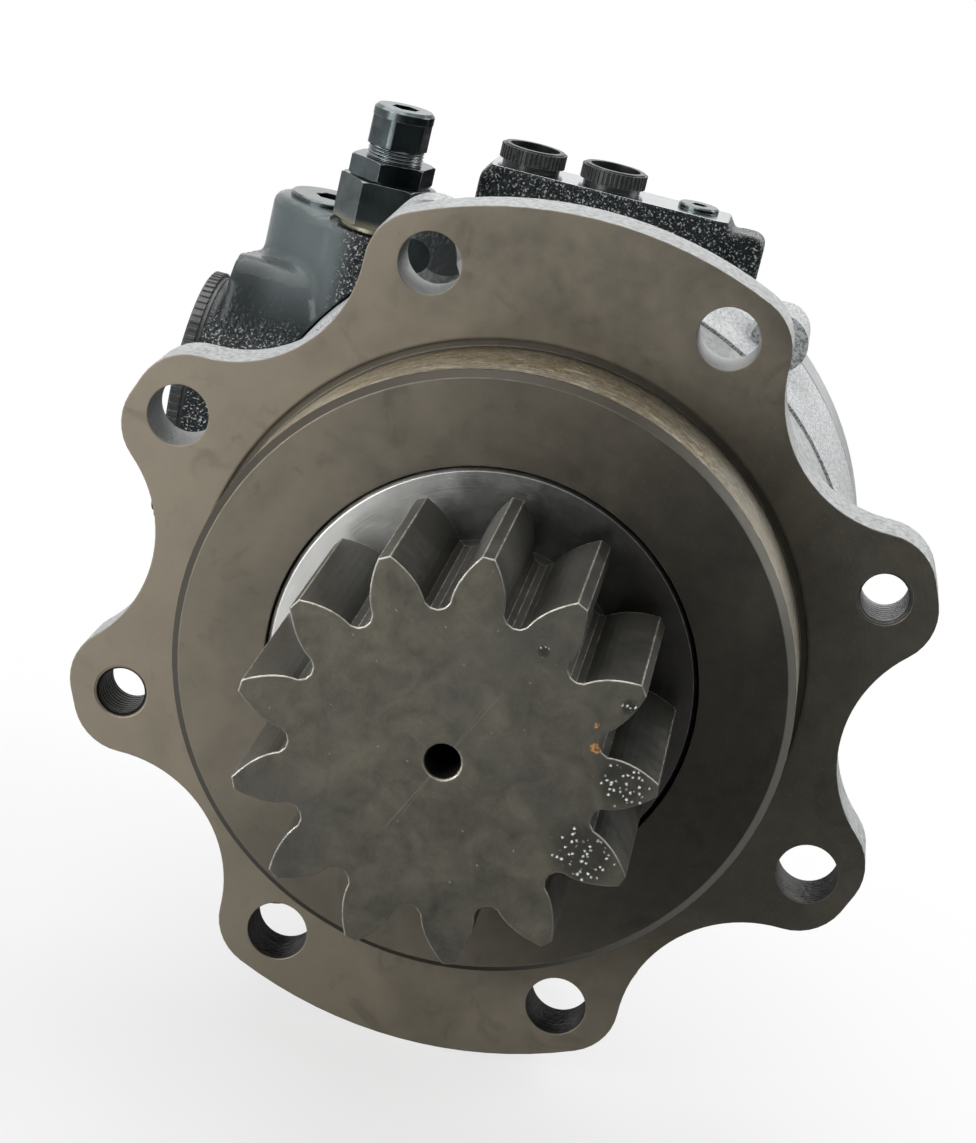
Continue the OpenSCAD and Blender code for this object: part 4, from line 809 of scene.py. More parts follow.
    def boss_layers(self, graph: Graph, on_boss: Socket, side: Socket,
                    crust: Socket) -> list[tuple[Socket, Value]]:
        """Lists what lies on the boss: painted shade on its face, oily streaks, crust, a painted highlight
        and painted reflection on its side, painted shade at its foot and a rim in painted reflection.

        Args:
            graph: Graph of the material.
            on_boss: One in front of the plate.
            side: One on the boss's round side.
            crust: Mask of the crust.

        Returns:
            Masks with their colours, from the lowest layer up.
        """
        x, y, _ = graph.axes
        radius = graph.radius
        on_face = graph.times(on_boss, graph.step(radius, self.boss_face))
        drip = graph.patches(self.drip, graph.stretch(self.drip_stretch))
        shine = graph.patches(self.shine, graph.stretch(self.shine_stretch))
        # Painted shade in the groove round the boss's foot.
        foot = graph.times(graph.step(radius, self.foot_inner), graph.step(radius, self.foot_outer),
                           graph.step(y, self.foot_depth))
        # Painted reflection on the rim's chamfer: dark to the left, light to the right.
        rim = graph.times(graph.step(radius, self.rim_radius), graph.step(y, self.rim_depth),
                          self.rim_share)
        rim_reflection = graph.mix(graph.step(x, self.rim_side), self.rim_left, self.rim_right)
        return [
            # Painted shade: the boss face darkens to the right.
            (graph.times(on_face, graph.step(x, self.face_shade)), self.face_shadow),
            (graph.times(side, drip), self.oil_stain),
            (graph.times(side, crust, self.crust_share), self.rubbed),
            # Painted highlight: streaks of light along the boss's side.
            (graph.times(side, shine), self.painted_highlight),
            # Painted reflection: the boss's side is lighter to the right.
            (graph.times(side, graph.step(x, self.side_light)), self.side_reflection),
            (foot, self.foot_shade),
            (rim, rim_reflection),
        ]

    def rear_colour(self, graph: Graph, pits: Socket, mottle: Socket) -> Socket:
        """Gives the silver rear's colour, with the holes' dark walls, painted light and shade on the upper
        holes' walls and a painted shadow on what lies behind the holes.

        Args:
            graph: Graph of the material.
            pits: Mask of the grain's pits.
            mottle: Clouds in the tone.

        Returns:
            The colour.
        """
        x, y, z = graph.axes
        # Upper holes' walls: painted light where they face up, painted shade where they face down; the
        # lower holes' walls are dark unpainted metal.
        looks_up = graph.ramp(graph.split(graph.facing)[2], *self.up_range)
        upper_tone = graph.mix(looks_up, self.hole_shaded, self.hole_lit)
        hole_tone = graph.mix(graph.step(z, self.hole_height), self.hole_dark, upper_tone)
        from_hole = self.hole_distance(graph)
        # Painted shadow on the rear faces behind the holes.
        behind = graph.times(graph.step(from_hole, self.behind_reach),
                             graph.step(graph.minus(x, z), self.behind_side),
                             graph.step(y, self.behind_depth))
        return graph.layers(
            self.silver,
            (graph.times(pits, self.pit_share), self.silver_pits),
            (graph.times(mottle, self.cloud_share), self.silver_clouds),
            (graph.step(from_hole, self.hole_wall), hole_tone),
            (behind, self.behind_hole_shadow))

    def hole_distance(self, graph: Graph) -> Socket:
        """Measures to the axis of the nearest of the eight holes, which lie 45 degrees apart."""
        x, _, z = graph.axes
        turns = graph.math("DIVIDE", graph.math("ARCTAN2", z, x), self.hole_spacing)
        local = graph.times(graph.minus(graph.math("FRACT", turns), 0.5), self.hole_spacing)
        along = graph.times(graph.radius, graph.math("COSINE", local))
        aside = graph.times(graph.radius, graph.math("SINE", local))
        return graph.length(graph.minus(along, self.bolt_circle), aside)

    def threads(self, graph: Graph) -> Socket:
        """Gives the height of the threads in the two tapped holes, and zero elsewhere."""
        x, y, z = graph.axes
        turn = graph.math("SINE", graph.times(y, 2 * math.pi / self.thread_pitch))
        total: Value = 0.0
        for angle in self.jack_angles:
            centre_x = self.bolt_circle * math.cos(math.radians(angle))
            centre_z = self.bolt_circle * math.sin(math.radians(angle))
            away = graph.length(graph.minus(x, centre_x), graph.minus(z, centre_z))
            total = graph.plus(total, graph.times(graph.step(away, self.thread_bore), turn))
        return graph.times(total, self.thread_height)


@dataclass(frozen=True)
class PinionSteel(Finish):
    """Hardened pinion: dull face, bright worn profile with a painted highlight, crumbs, flecks and scribed
    lines.

    A scribed line is given by its angle, how far it reaches and its strength. A patch of
    crumbs and a fleck are given by their centre, across and up, and their reach.
    """

    light: Colour = (0.215, 0.20, 0.155)
    dark: Colour = (0.085, 0.083, 0.07)
    flank: Colour = (0.035, 0.036, 0.032)
    bright: Colour = (0.78, 0.74, 0.66)
    speck_colour: Colour = (0.5, 0.49, 0.45)
    scribe_colour: Colour = (0.34, 0.30, 0.24)
    cool_colour: Colour = (0.075, 0.08, 0.08)
    damp_colour: Colour = (0.02, 0.023, 0.023)
    crumb_colour: Colour = (0.84, 0.85, 0.84)
    copper_dark: Colour = (0.30, 0.12, 0.03)
    copper_light: Colour = (0.72, 0.44, 0.20)
    scribes_at: tuple[Place, ...] = ((64.0, 27.0, 0.45), (67.5, 22.0, 0.3), (152.0, 15.0, 0.16))
    crumbs_at: tuple[Place, ...] = (
        (40.5, -14.5, 10.5), (46.0, 7.0, 8.5), (42.4, 26.9, 2.6), (18.3, 35.3, 2.0))
    flecks_at: tuple[Place, ...] = ((37.0, 14.0, 2.7), (38.6, 14.4, 2.3), (35.7, 20.0, 1.9))
    front_face: Step = Step(-103.0, -102.7, 1.0, 0.0)
    scribe_width: Span = (0.05, 0.2)
    scribe_fade: float = 6.0
    fleck_edge: float = 0.2
    fleck_scale: float = 700.0
    fleck_ragged: float = 2.2 * MM
    crumb_scale: float = 820.0
    crumb_edge: Span = (0.52, 0.80)
    crumb_ragged: float = 0.75
    ragged_scale: float = 2600.0
    crumb_chance: float = 0.7
    crumb_core: float = 0.45
    crumb_height: float = 0.25 * MM
    grind_depth: float = 0.03 * MM
    grind_stretch: Place = (900.0, 25.0, 900.0)
    pit_scale: float = 650.0
    pit_depth: float = 0.05 * MM
    rise_tone: float = 2.2
    flank_share: float = 0.8
    damp_share: float = 0.55
    highlight_up: float = 0.8
    highlight_across: float = 0.5
    highlight_range: Span = (-0.4, 0.4)
    highlight_least: float = 0.25
    metallic: float = 0.72
    rough_spread: float = 0.18
    rough_least: float = 0.30
    rough_crumbs: float = 0.4
    specks: Patches = Patches(620.0, 1.0, 0.0, 0.74, 0.79, 0.55)
    cool: Patches = Patches(17.0, 2.0, 0.8, 0.42, 0.62, 0.32)
    copper: Patches = Patches(1500.0, 3.0, 0.0, 0.4, 0.6)

    def paint(self, graph: Graph, shader: Node) -> None:
        """Paints the pinion."""
        worn, normal = graph.worn_edges(radius=0.8 * MM, amount=2.0, scale=260.0)
        coarse = graph.clouds(scale=38.0, contrast=0.9)
        fine = graph.clouds(scale=130.0, contrast=0.9)
        # Painted light: the pinion's tone lightens towards the top.
        mottle = graph.plus(graph.times(coarse, 0.5), graph.times(fine, 0.5),
                            graph.times(graph.axes[2], self.rise_tone), clamp=True)
        on_face = graph.step(graph.axes[1], self.front_face)
        near = self.near_crumbs(graph)
        crumbs = graph.times(self.crumbs(graph, near), on_face)
        # Worn edges with a painted highlight: they are brightest where they face up and to the left.
        side_x, _, side_z = graph.split(normal)
        turned = graph.minus(graph.times(side_z, self.highlight_up), graph.times(side_x, self.highlight_across))
        rubbed = graph.times(worn, graph.ramp(turned, *self.highlight_range, self.highlight_least, 1.0))
        copper = graph.mix(graph.patches(self.copper), self.copper_dark, self.copper_light)
        colour = graph.layers(
            graph.mix(mottle, self.dark, self.light),
            (graph.times(graph.rest(on_face), self.flank_share), self.flank),
            (graph.times(graph.patches(self.specks), on_face), self.speck_colour),
            (graph.times(self.scribes(graph), on_face), self.scribe_colour),
            (graph.times(graph.patches(self.cool), on_face), self.cool_colour),
            (graph.times(near, self.damp_share), self.damp_colour),
            (rubbed, self.bright),
            (crumbs, self.crumb_colour),
            (graph.times(self.flecks(graph), on_face), copper))
        grind = graph.noise(graph.stretch(self.grind_stretch), 1.0, detail=3.0)
        pits = graph.noise(graph.place, self.pit_scale, detail=4.0)
        height = graph.plus(graph.times(grind, self.grind_depth), graph.times(pits, self.pit_depth),
                            graph.times(crumbs, self.crumb_height))
        rough = graph.plus(graph.times(mottle, self.rough_spread), self.rough_least,
                           graph.times(crumbs, self.rough_crumbs), clamp=True)
        self.set_shader(graph, shader, Base_Color=colour, Roughness=rough,
                        Metallic=graph.ramp(crumbs, 0.0, 1.0, self.metallic, 0.0),
                        Normal=self.bump(graph, height, normal))

    def scribes(self, graph: Graph) -> Socket:
        """Gives thin scratches through the centre."""
        x, _, z = graph.axes
        total: Value = 0.0
        for angle, reach, strength in self.scribes_at:
            across = graph.plus(graph.times(x, -math.sin(math.radians(angle))),
                                graph.times(z, math.cos(math.radians(angle))))
            width = Step(*self.scribe_width, strength, 0.0)
            line = graph.times(graph.step(graph.math("ABSOLUTE", across), width),
                               graph.step(graph.radius, Step(reach - self.scribe_fade, reach, 1.0, 0.0)))
            total = graph.most(total, line)
        return total

    @staticmethod
    def away_from(graph: Graph, across: float, up: float) -> Socket:
        """Gives the distance from a line along the drive axis, placed in millimetres."""
        x, _, z = graph.axes
        return graph.length(graph.minus(x, across * MM), graph.minus(z, up * MM))

    def near_crumbs(self, graph: Graph) -> Socket:
        """Masks the patches where crumbs cling to the teeth."""
        near: Value = 0.0
        for across, up, reach in self.crumbs_at:
            edge = Step(self.crumb_core * reach, reach, 1.0, 0.0)
            near = graph.most(near, graph.step(self.away_from(graph, across, up), edge))
        return near

    def crumbs(self, graph: Graph, near: Socket) -> Socket:
        """Gives the white crumbs that cling to the teeth on the right.

        Args:
            graph: Graph of the material.
            near: Mask of the patches.

        Returns:
            One on a crumb, zero elsewhere.
        """
        inputs = {"Vector": graph.place, "Scale": self.crumb_scale}
        cells = graph.add("ShaderNodeTexVoronoi", inputs, feature="F1")
        uneven = graph.times(graph.noise(graph.place, self.ragged_scale, detail=3.0), self.crumb_ragged)
        away = graph.plus(cells.outputs["Distance"], uneven)
        chance = graph.split(cells.outputs["Color"])[0]
        kept = graph.ramp(graph.minus(graph.times(near, self.crumb_chance), chance), 0.0, 0.3)
        return graph.times(graph.ramp(away, *self.crumb_edge, 1.0, 0.0), kept)

    def flecks(self, graph: Graph) -> Socket:
        """Gives the small flecks of copper-coloured dirt."""
        total: Value = 0.0
        ragged = graph.times(graph.noise(graph.place, self.fleck_scale, detail=3.0), self.fleck_ragged)
        for across, up, reach in self.flecks_at:
            away = graph.plus(self.away_from(graph, across, up), ragged)
            edge = Step(reach - self.fleck_edge, reach, 1.0, 0.0)
            total = graph.most(total, graph.step(away, edge))
        return total


@dataclass(frozen=True)
class MachinedSteel(Finish):
    """Turned, ground or milled metal with rings, cloudy tone and bright edges."""

    colour: Colour
    deep_colour: Colour
    roughness: float
    ring_scale: float = 2400.0
    ring_depth: float = 0.012 * MM
    wear: float = 0.7
    edge_radius: float = 0.35 * MM
    sheen: float = 0.0
    sheen_colour: Colour = (0.95, 0.95, 0.92)
    shade_colour: Colour = (0.06, 0.055, 0.048)
    sheen_side: Span = (-52, -5)
    shade_side: Step = Step(0.0, 42, 0.0, 0.72)
    streak_share: float = 0.3
    edge_gain: float = 1.7
    edge_lift: float = 0.08
    rough_spread: float = 0.14
    rough_drop: float = 0.05
    rough_streaks: float = 0.25

    def paint(self, graph: Graph, shader: Node) -> None:
        """Paints the metal."""
        worn, normal = graph.worn_edges(self.edge_radius, self.wear, scale=400.0)
        rings = graph.use(Effect.TURNING_MARKS, {"Scale": self.ring_scale, "Depth": self.ring_depth})
        mottle = graph.clouds(scale=60.0)
        streak = graph.times(graph.ramp(rings.outputs["Streak"], *RING_STREAKS), self.streak_share)
        colour = graph.layers(graph.mix(mottle, self.deep_colour, self.colour),
                              (streak, self.deep_colour))
        # Painted highlight on the left and painted shade on the right, where a sheen is set.
        if self.sheen:
            x = graph.axes[0]
            left = graph.step(x, Step(*self.sheen_side, self.sheen, 0.0))
            colour = graph.layers(colour, (left, self.sheen_colour),
                                  (graph.step(x, self.shade_side), self.shade_colour))
        bright = tuple(min(1.0, self.edge_gain * part + self.edge_lift) for part in self.colour)
        colour = graph.mix(worn, colour, bright)
        rough = graph.plus(graph.times(mottle, self.rough_spread), self.roughness - self.rough_drop,
                           graph.times(streak, self.rough_streaks), clamp=True)
        self.set_shader(graph, shader, Base_Color=colour, Metallic=1.0, Roughness=rough,
                        Normal=self.bump(graph, rings.outputs["Height"], normal))


@dataclass(frozen=True)
class BlackOxide(Finish):
    """Black oxide on turned and milled steel, rubbed bright along edges, with painted light and shade on
    its faces.
    """

    colour: Colour = (0.13, 0.155, 0.16)
    shaded: Colour = (0.016, 0.023, 0.025)
    oily: Colour = (0.015, 0.02, 0.02)
    worn: Colour = (0.42, 0.45, 0.45)
    dust_colour: Colour = (0.4, 0.4, 0.38)
    foot_colour: Colour = (0.34, 0.31, 0.20)
    valve_place: Span = (-74.5 * MM, 121 * MM)
    foot_reach: Step = Step(15.5, 16.5, 1.0, 0.0)
    foot_bottom: Step = Step(85.0, 86.0)
    foot_top: Step = Step(88.4, 91.0, 1.0, 0.0)
    foot_share: float = 0.6
    shade_up: float = 0.8
    shade_range: Span = (-0.35, 0.3)
    oil: float = 0.6
    dust: float = 0.12
    rough_spread: float = 0.12
    rough_least: float = 0.12
    brush_stretch: Place = (1800.0, 1800.0, 120.0)
    brush_depth: float = 0.012 * MM

    def paint(self, graph: Graph, shader: Node) -> None:
        """Paints the fittings; the relief valve's foot is stained."""
        x, y, z = graph.axes
        worn, normal = graph.worn_edges(radius=0.3 * MM, amount=0.75, scale=500.0)
        mottle = graph.clouds(scale=110.0, contrast=1.1)
        # Painted light and shade: faces turned left and up are light, faces turned right and down are
        # shaded.
        facing_x, _, facing_z = graph.split(graph.facing)
        turned = graph.minus(facing_x, graph.times(facing_z, self.shade_up))
        away = graph.length(graph.minus(x, self.valve_place[0]), graph.minus(y, self.valve_place[1]))
        foot = graph.times(graph.step(away, self.foot_reach), graph.step(z, self.foot_bottom),
                           graph.step(z, self.foot_top), self.foot_share)
        colour = graph.layers(
            graph.mix(graph.ramp(turned, *self.shade_range), self.colour, self.shaded),
            (graph.minus(self.oil, graph.times(mottle, self.oil)), self.oily),
            (foot, self.foot_colour),
            (worn, self.worn),
            (graph.dust(self.dust), self.dust_colour))
        brushed = graph.noise(graph.stretch(self.brush_stretch), 1.0, detail=2.0)
        height = graph.times(brushed, self.brush_depth)
        rough = graph.plus(graph.times(mottle, self.rough_spread), self.rough_least)
        self.set_shader(graph, shader, Base_Color=colour, Metallic=0.85, Roughness=rough,
                        Normal=self.bump(graph, height, normal))


@dataclass(frozen=True)
class SoftMatter(Finish):
    """Rubber, moulded plastic or friction lining with a fine tooth and dull edges."""

    colour: Colour
    edge_colour: Colour
    roughness: float
    tooth_scale: float = 2200.0
    tooth_depth: float = 0.03 * MM
    dust_colour: Colour = (0.35, 0.34, 0.32)
    dust: float = 0.2
    deep_share: float = 0.6
    rough_spread: float = 0.16
    rough_drop: float = 0.06

    def paint(self, graph: Graph, shader: Node) -> None:
        """Paints the soft or moulded piece."""
        worn, normal = graph.worn_edges(radius=0.25 * MM, amount=0.6, scale=500.0)
        mottle = graph.clouds(scale=90.0)
        deep = tuple(self.deep_share * part for part in self.colour)
        colour = graph.layers(
            graph.mix(mottle, deep, self.colour),
            (worn, self.edge_colour),
            (graph.dust(self.dust), self.dust_colour))
        tooth = graph.noise(graph.place, self.tooth_scale, detail=3.0)
        height = graph.times(tooth, self.tooth_depth)
        rough = graph.plus(graph.times(mottle, self.rough_spread), self.roughness - self.rough_drop)
        self.set_shader(graph, shader, Base_Color=colour, Metallic=0.0, Roughness=rough,
                        Normal=self.bump(graph, height, normal))


FLANGE_IRON = FlangeIron("flange_iron")
PINION_STEEL = PinionSteel("pinion_steel")
SILVER_CAST = CastPaint(
    "silver_cast", colour=(0.74, 0.76, 0.76), deep_colour=(0.60, 0.615, 0.62),
    worn_colour=(0.76, 0.77, 0.77), grain_scale=1100.0, grain_depth=0.34 * MM, roughness=0.40,
    metallic=0.25, wear=0.25, speckle=0.8)
SILVER_SMOOTH = CastPaint(
    "silver_smooth", colour=(0.50, 0.515, 0.52), deep_colour=(0.38, 0.395, 0.40),
    worn_colour=(0.60, 0.61, 0.61), grain_scale=1500.0, grain_depth=0.09 * MM, roughness=0.38,
    metallic=0.25, wear=0.3, speckle=0.16)
BLACK_CAST = CastPaint(
    "black_cast", colour=(0.022, 0.028, 0.029), deep_colour=(0.009, 0.012, 0.013),
    worn_colour=(0.07, 0.08, 0.082), grain_scale=820.0, grain_depth=0.5 * MM, roughness=0.16,
    wear=0.35, edge_radius=1.6 * MM, bare_above=110.85 * MM, smooth=SmoothPaint(), sparkle=0.75,
    specular=0.2)
BLACK_OXIDE = BlackOxide("black_oxide")
COLLAR_STEEL = MachinedSteel(
    "collar_steel", colour=(0.38, 0.38, 0.37), deep_colour=(0.26, 0.26, 0.25), roughness=0.34,
    ring_scale=3200.0, ring_depth=0.02 * MM, wear=1.0, sheen=0.9)
BEARING_STEEL = MachinedSteel(
    "bearing_steel", colour=(0.62, 0.63, 0.64), deep_colour=(0.45, 0.46, 0.47), roughness=0.18,
    ring_scale=5200.0, ring_depth=0.004 * MM)
GEAR_STEEL = MachinedSteel(
    "gear_steel", colour=(0.42, 0.425, 0.43), deep_colour=(0.27, 0.275, 0.28), roughness=0.32,
    ring_scale=2600.0, ring_depth=0.014 * MM)
BRONZE = MachinedSteel(
    "bearing_bronze", colour=(0.62, 0.42, 0.19), deep_colour=(0.42, 0.26, 0.10), roughness=0.3,
    ring_scale=2600.0, ring_depth=0.012 * MM)
GASKET_SHEET = MachinedSteel(
    "gasket_sheet", colour=(0.12, 0.125, 0.13), deep_colour=(0.07, 0.075, 0.08), roughness=0.5,
    ring_scale=900.0, ring_depth=0.01 * MM, wear=0.4)
RUBBER = SoftMatter(
    "seal_rubber", colour=(0.018, 0.018, 0.018), edge_colour=(0.06, 0.06, 0.06), roughness=0.6)
# The caps' light edge colour is rubbed wear with a painted highlight on the ribs' crests.
CAP_PLASTIC = SoftMatter(
    "cap_plastic", colour=(0.024, 0.026, 0.027), edge_colour=(0.34, 0.35, 0.345), roughness=0.3,
    tooth_scale=1500.0, tooth_depth=0.02 * MM)
LINING = SoftMatter(
    "friction_lining", colour=(0.20, 0.15, 0.11), edge_colour=(0.34, 0.28, 0.22), roughness=0.8,
    tooth_scale=1400.0, tooth_depth=0.09 * MM)

WORN_BY: dict[Finish, tuple[str, ...]] = {
    FLANGE_IRON: ("flange_housing",),
    PINION_STEEL: ("pinion_shaft",),
    COLLAR_STEEL: ("seal_collar",),
    SILVER_CAST: ("motor_casing",),
    SILVER_SMOOTH: ("brake_housing",),
    BLACK_CAST: ("valve_head",),
    GASKET_SHEET: ("head_gasket",),
    LINING: ("friction_discs",),
    RUBBER: ("oil_seal", "shaft_seal", "casing_o_rings"),
    CAP_PLASTIC: ("port_cap_a", "port_cap_b", "side_port_cap"),
    BRONZE: ("planet_washers", "planet_bushes_1", "planet_bushes_2", "planet_bushes_3", "shoes",
             "valve_plate"),
    BEARING_STEEL: (
        "front_bearing_cup", "front_bearing_cone", "front_bearing_rollers", "rear_bearing_cup",
        "rear_bearing_cone", "rear_bearing_rollers", "planet_pins", "ring_gear_dowels",
        "shaft_bearing_front", "shaft_balls_front", "shaft_bearing_rear", "shaft_balls_rear",
        "shaft_races", "pistons"),
    GEAR_STEEL: (
        "front_bearing_cage", "rear_bearing_cage", "planet_carrier", "planet_gear_1",
        "planet_gear_2", "planet_gear_3", "sun_gear", "ring_gear", "motor_shaft", "swash_plate",
        "retainer_plate", "ball_guide", "cylinder_block", "brake_plates", "brake_piston"),
    BLACK_OXIDE: (
        "bearing_nut", "planet_pin_rings", "ear_screws", "block_spring", "brake_springs",
        "head_screws", "relief_body", "relief_lock_nut", "relief_adjuster", "check_plugs",
        "gauge_plug"),
}


@dataclass(frozen=True)
class Studio:
    """Pale floor, soft lamps, white surroundings and the photograph's camera."""

    floor_height: float
    focal: float = 93.795
    camera_place: Place = (0.046569, -0.813825, 0.263341)
    right: Place = (0.96562, 0.13031, 0.22492)
    up: Place = (-0.25225, 0.26071, 0.93188)
    back: Place = (0.06279, -0.95658, 0.28462)
    floor_side: float = 8.0
    paper: Colour = (0.86, 0.86, 0.865)
    paper_stain: Colour = (0.60, 0.59, 0.56)
    paper_folds: float = 3 * MM
    card_colour: Colour = (0.02, 0.02, 0.02)
    card_side: Step = Step(-350, 100, 0.0, 0.85)
    stains: Patches = Patches(6.0, 6.0, 1.0, 0.5, 0.75, 0.3)
    floor_ahead: Step = Step(-250, 350, 0.55, 1.0)
    floor_around: Step = Step(550, 1300, 0.55, 1.0)
    gloss_way: Place = (-0.7, 0.35, 0.8)
    gloss_range: tuple[float, float, float, float] = (-0.35, 0.6, 0.06, 1.1)
    light_level: float = 0.22
    lamps: tuple[tuple[str, Place, float, float], ...] = (
        ("key", (-0.95, -1.1, 0.30), 0.8, 11.0),
        ("top", (-0.5, 0.4, 1.6), 1.6, 20.0),
        ("fill", (1.3, -0.8, 0.5), 1.0, 1.2),
        ("side", (1.1, 0.55, 0.7), 0.9, 12.0))

    def build(self) -> None:
        """Makes the floor, the lamps, the world and the camera."""
        self.make_floor()
        for name, place, size, power in self.lamps:
            self.make_lamp(name, Vector(place), size, power)
        self.make_world()
        self.make_camera()
        bpy.context.scene.view_settings.view_transform = "Standard"

    def make_floor(self) -> None:
        """Lays a wide pale floor at the object's lowest point."""
        bpy.ops.object.select_all(action="DESELECT")
        bpy.ops.mesh.primitive_plane_add(size=self.floor_side, location=(0, 0, self.floor_height))
        floor = bpy.context.object
        floor.name = "studio_floor"
        bpy.ops.object.transform_apply(location=True, rotation=True, scale=True)
        floor.data.materials.append(self.floor_material())
        floor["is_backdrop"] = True

    def floor_material(self) -> bpy.types.Material:
        """Makes near-white paper with faint marks, lifted towards white for the camera.

        Gloss sees a dark card to the right instead of the paper.

        Returns:
            The material.
        """
        made = bpy.data.materials.new("studio_paper")
        made.use_nodes = True
        graph = Graph(made.node_tree)
        shader = made.node_tree.nodes["Principled BSDF"]
        x, y, _ = graph.axes
        path = graph.add("ShaderNodeLightPath").outputs
        card = graph.times(graph.step(x, self.card_side), path["Is Glossy Ray"])
        colour = graph.layers(self.paper, (graph.patches(self.stains), self.paper_stain),
                              (card, self.card_colour))
        height = graph.times(graph.noise(graph.place, 9.0, detail=5.0, distortion=1.2), self.paper_folds)
        Finish.set_shader(graph, shader, Base_Color=colour, Roughness=0.7,
                          Normal=Finish.bump(graph, height, graph.facing, 0.3))
        glow = graph.add("ShaderNodeEmission", {"Color": WHITE, "Strength": 1.0})
        far = graph.most(graph.step(y, self.floor_ahead),
                         graph.step(graph.length(x, y), self.floor_around))
        seen = graph.times(path["Is Camera Ray"], far)
        mixed = graph.add("ShaderNodeMixShader", {0: seen, 1: shader.outputs[0], 2: glow.outputs[0]})
        graph.feed(made.node_tree.nodes["Material Output"].inputs["Surface"], mixed.outputs[0])
        return made

    @staticmethod
    def make_lamp(name: str, place: Vector, size: float, power: float) -> None:
        """Hangs one square soft box that looks at the object.

        Args:
            name: Name of the lamp.
            place: Where it hangs.
            size: Length of its side.
            power: Watts.
        """
        data = bpy.data.lights.new(name, "AREA")
        data.size = size
        data.energy = power
        lamp = bpy.data.objects.new(name, data)
        bpy.context.scene.collection.objects.link(lamp)
        lamp.location = place
        lamp.rotation_euler = (-place).to_track_quat("-Z", "Y").to_euler()

    def make_world(self) -> None:
        """Makes surroundings that look white, light plainly and, for gloss, darken to the right."""
        world = bpy.data.worlds.new("studio_white")
        bpy.context.scene.world = world
        world.use_nodes = True
        graph = Graph(world.node_tree)
        path = graph.add("ShaderNodeLightPath").outputs
        x, y, z = graph.split(graph.add("ShaderNodeTexCoord").outputs["Generated"])
        across, along, up = self.gloss_way
        way = graph.plus(graph.times(x, across), graph.times(z, up), graph.times(y, along))
        gloss_tone = graph.minus(graph.ramp(way, *self.gloss_range), self.light_level)
        tone = graph.plus(graph.times(path["Is Glossy Ray"], gloss_tone), self.light_level)
        white = graph.most(path["Is Camera Ray"], path["Is Transmission Ray"])
        strength = graph.plus(graph.times(white, graph.rest(tone)), tone)
        background = world.node_tree.nodes["Background"]
        graph.feed(background.inputs["Color"], WHITE)
        graph.feed(background.inputs["Strength"], strength)

    def make_camera(self) -> None:
        """Sets the camera where the photograph was taken from."""
        data = bpy.data.cameras.new("photo_camera")
        data.lens = self.focal
        data.sensor_width = 36.0
        data.clip_start = 0.01
        camera = bpy.data.objects.new("photo_camera", data)
        bpy.context.scene.collection.objects.link(camera)
        turn = Matrix((self.right, self.up, self.back)).transposed().to_4x4()
        camera.matrix_world = Matrix.Translation(Vector(self.camera_place)) @ turn
        bpy.context.scene.camera = camera


@dataclass(frozen=True)
class Motor:
    """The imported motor, whose nodes get their finishes."""

    frame: dict

    def dress(self) -> None:
        """Gives every node its finish."""
        for finish, names in WORN_BY.items():
            for name in names:
                materials = self.frame["nodes"][name].data.materials
                materials.clear()
                materials.append(finish.material())
                LOG.info("%s wears %s", name, finish.name)


@dataclass(frozen=True)
class Bore:
    """A round cut or fill, given in millimetres by its two ends and its radius."""

    start: Place
    end: Place
    radius: float

    def make(self) -> bpy.types.Object:
        """Makes the cutter or the fill.

        Returns:
            A closed cylinder.
        """
        start, end = Vector(self.start) * MM, Vector(self.end) * MM
        axis = end - start
        bpy.ops.mesh.primitive_cylinder_add(
            vertices=96, radius=self.radius * MM, depth=axis.length, location=(start + end) / 2,
            rotation=axis.to_track_quat("Z", "Y").to_euler())
        bpy.ops.object.transform_apply(location=True, rotation=True, scale=True)
        return bpy.context.object


@dataclass(frozen=True)
class Block:
    """One square cut, given in millimetres by its lowest and highest corner."""

    low: Place
    high: Place

    def make(self) -> bpy.types.Object:
        """Makes the cutter.

        Returns:
            A closed box.
        """
        low, high = Vector(self.low) * MM, Vector(self.high) * MM
        bpy.ops.mesh.primitive_cube_add(size=1.0, location=(low + high) / 2)
        bpy.context.object.scale = high - low
        bpy.ops.object.transform_apply(location=True, rotation=True, scale=True)
        return bpy.context.object


@dataclass(frozen=True)
class Stock:
    """Flat faces, at a level in millimetres, that grow before the sand rounds them.

    They are milled back afterwards.
    """

    direction: Place
    level: float
    growth: float = 3.0


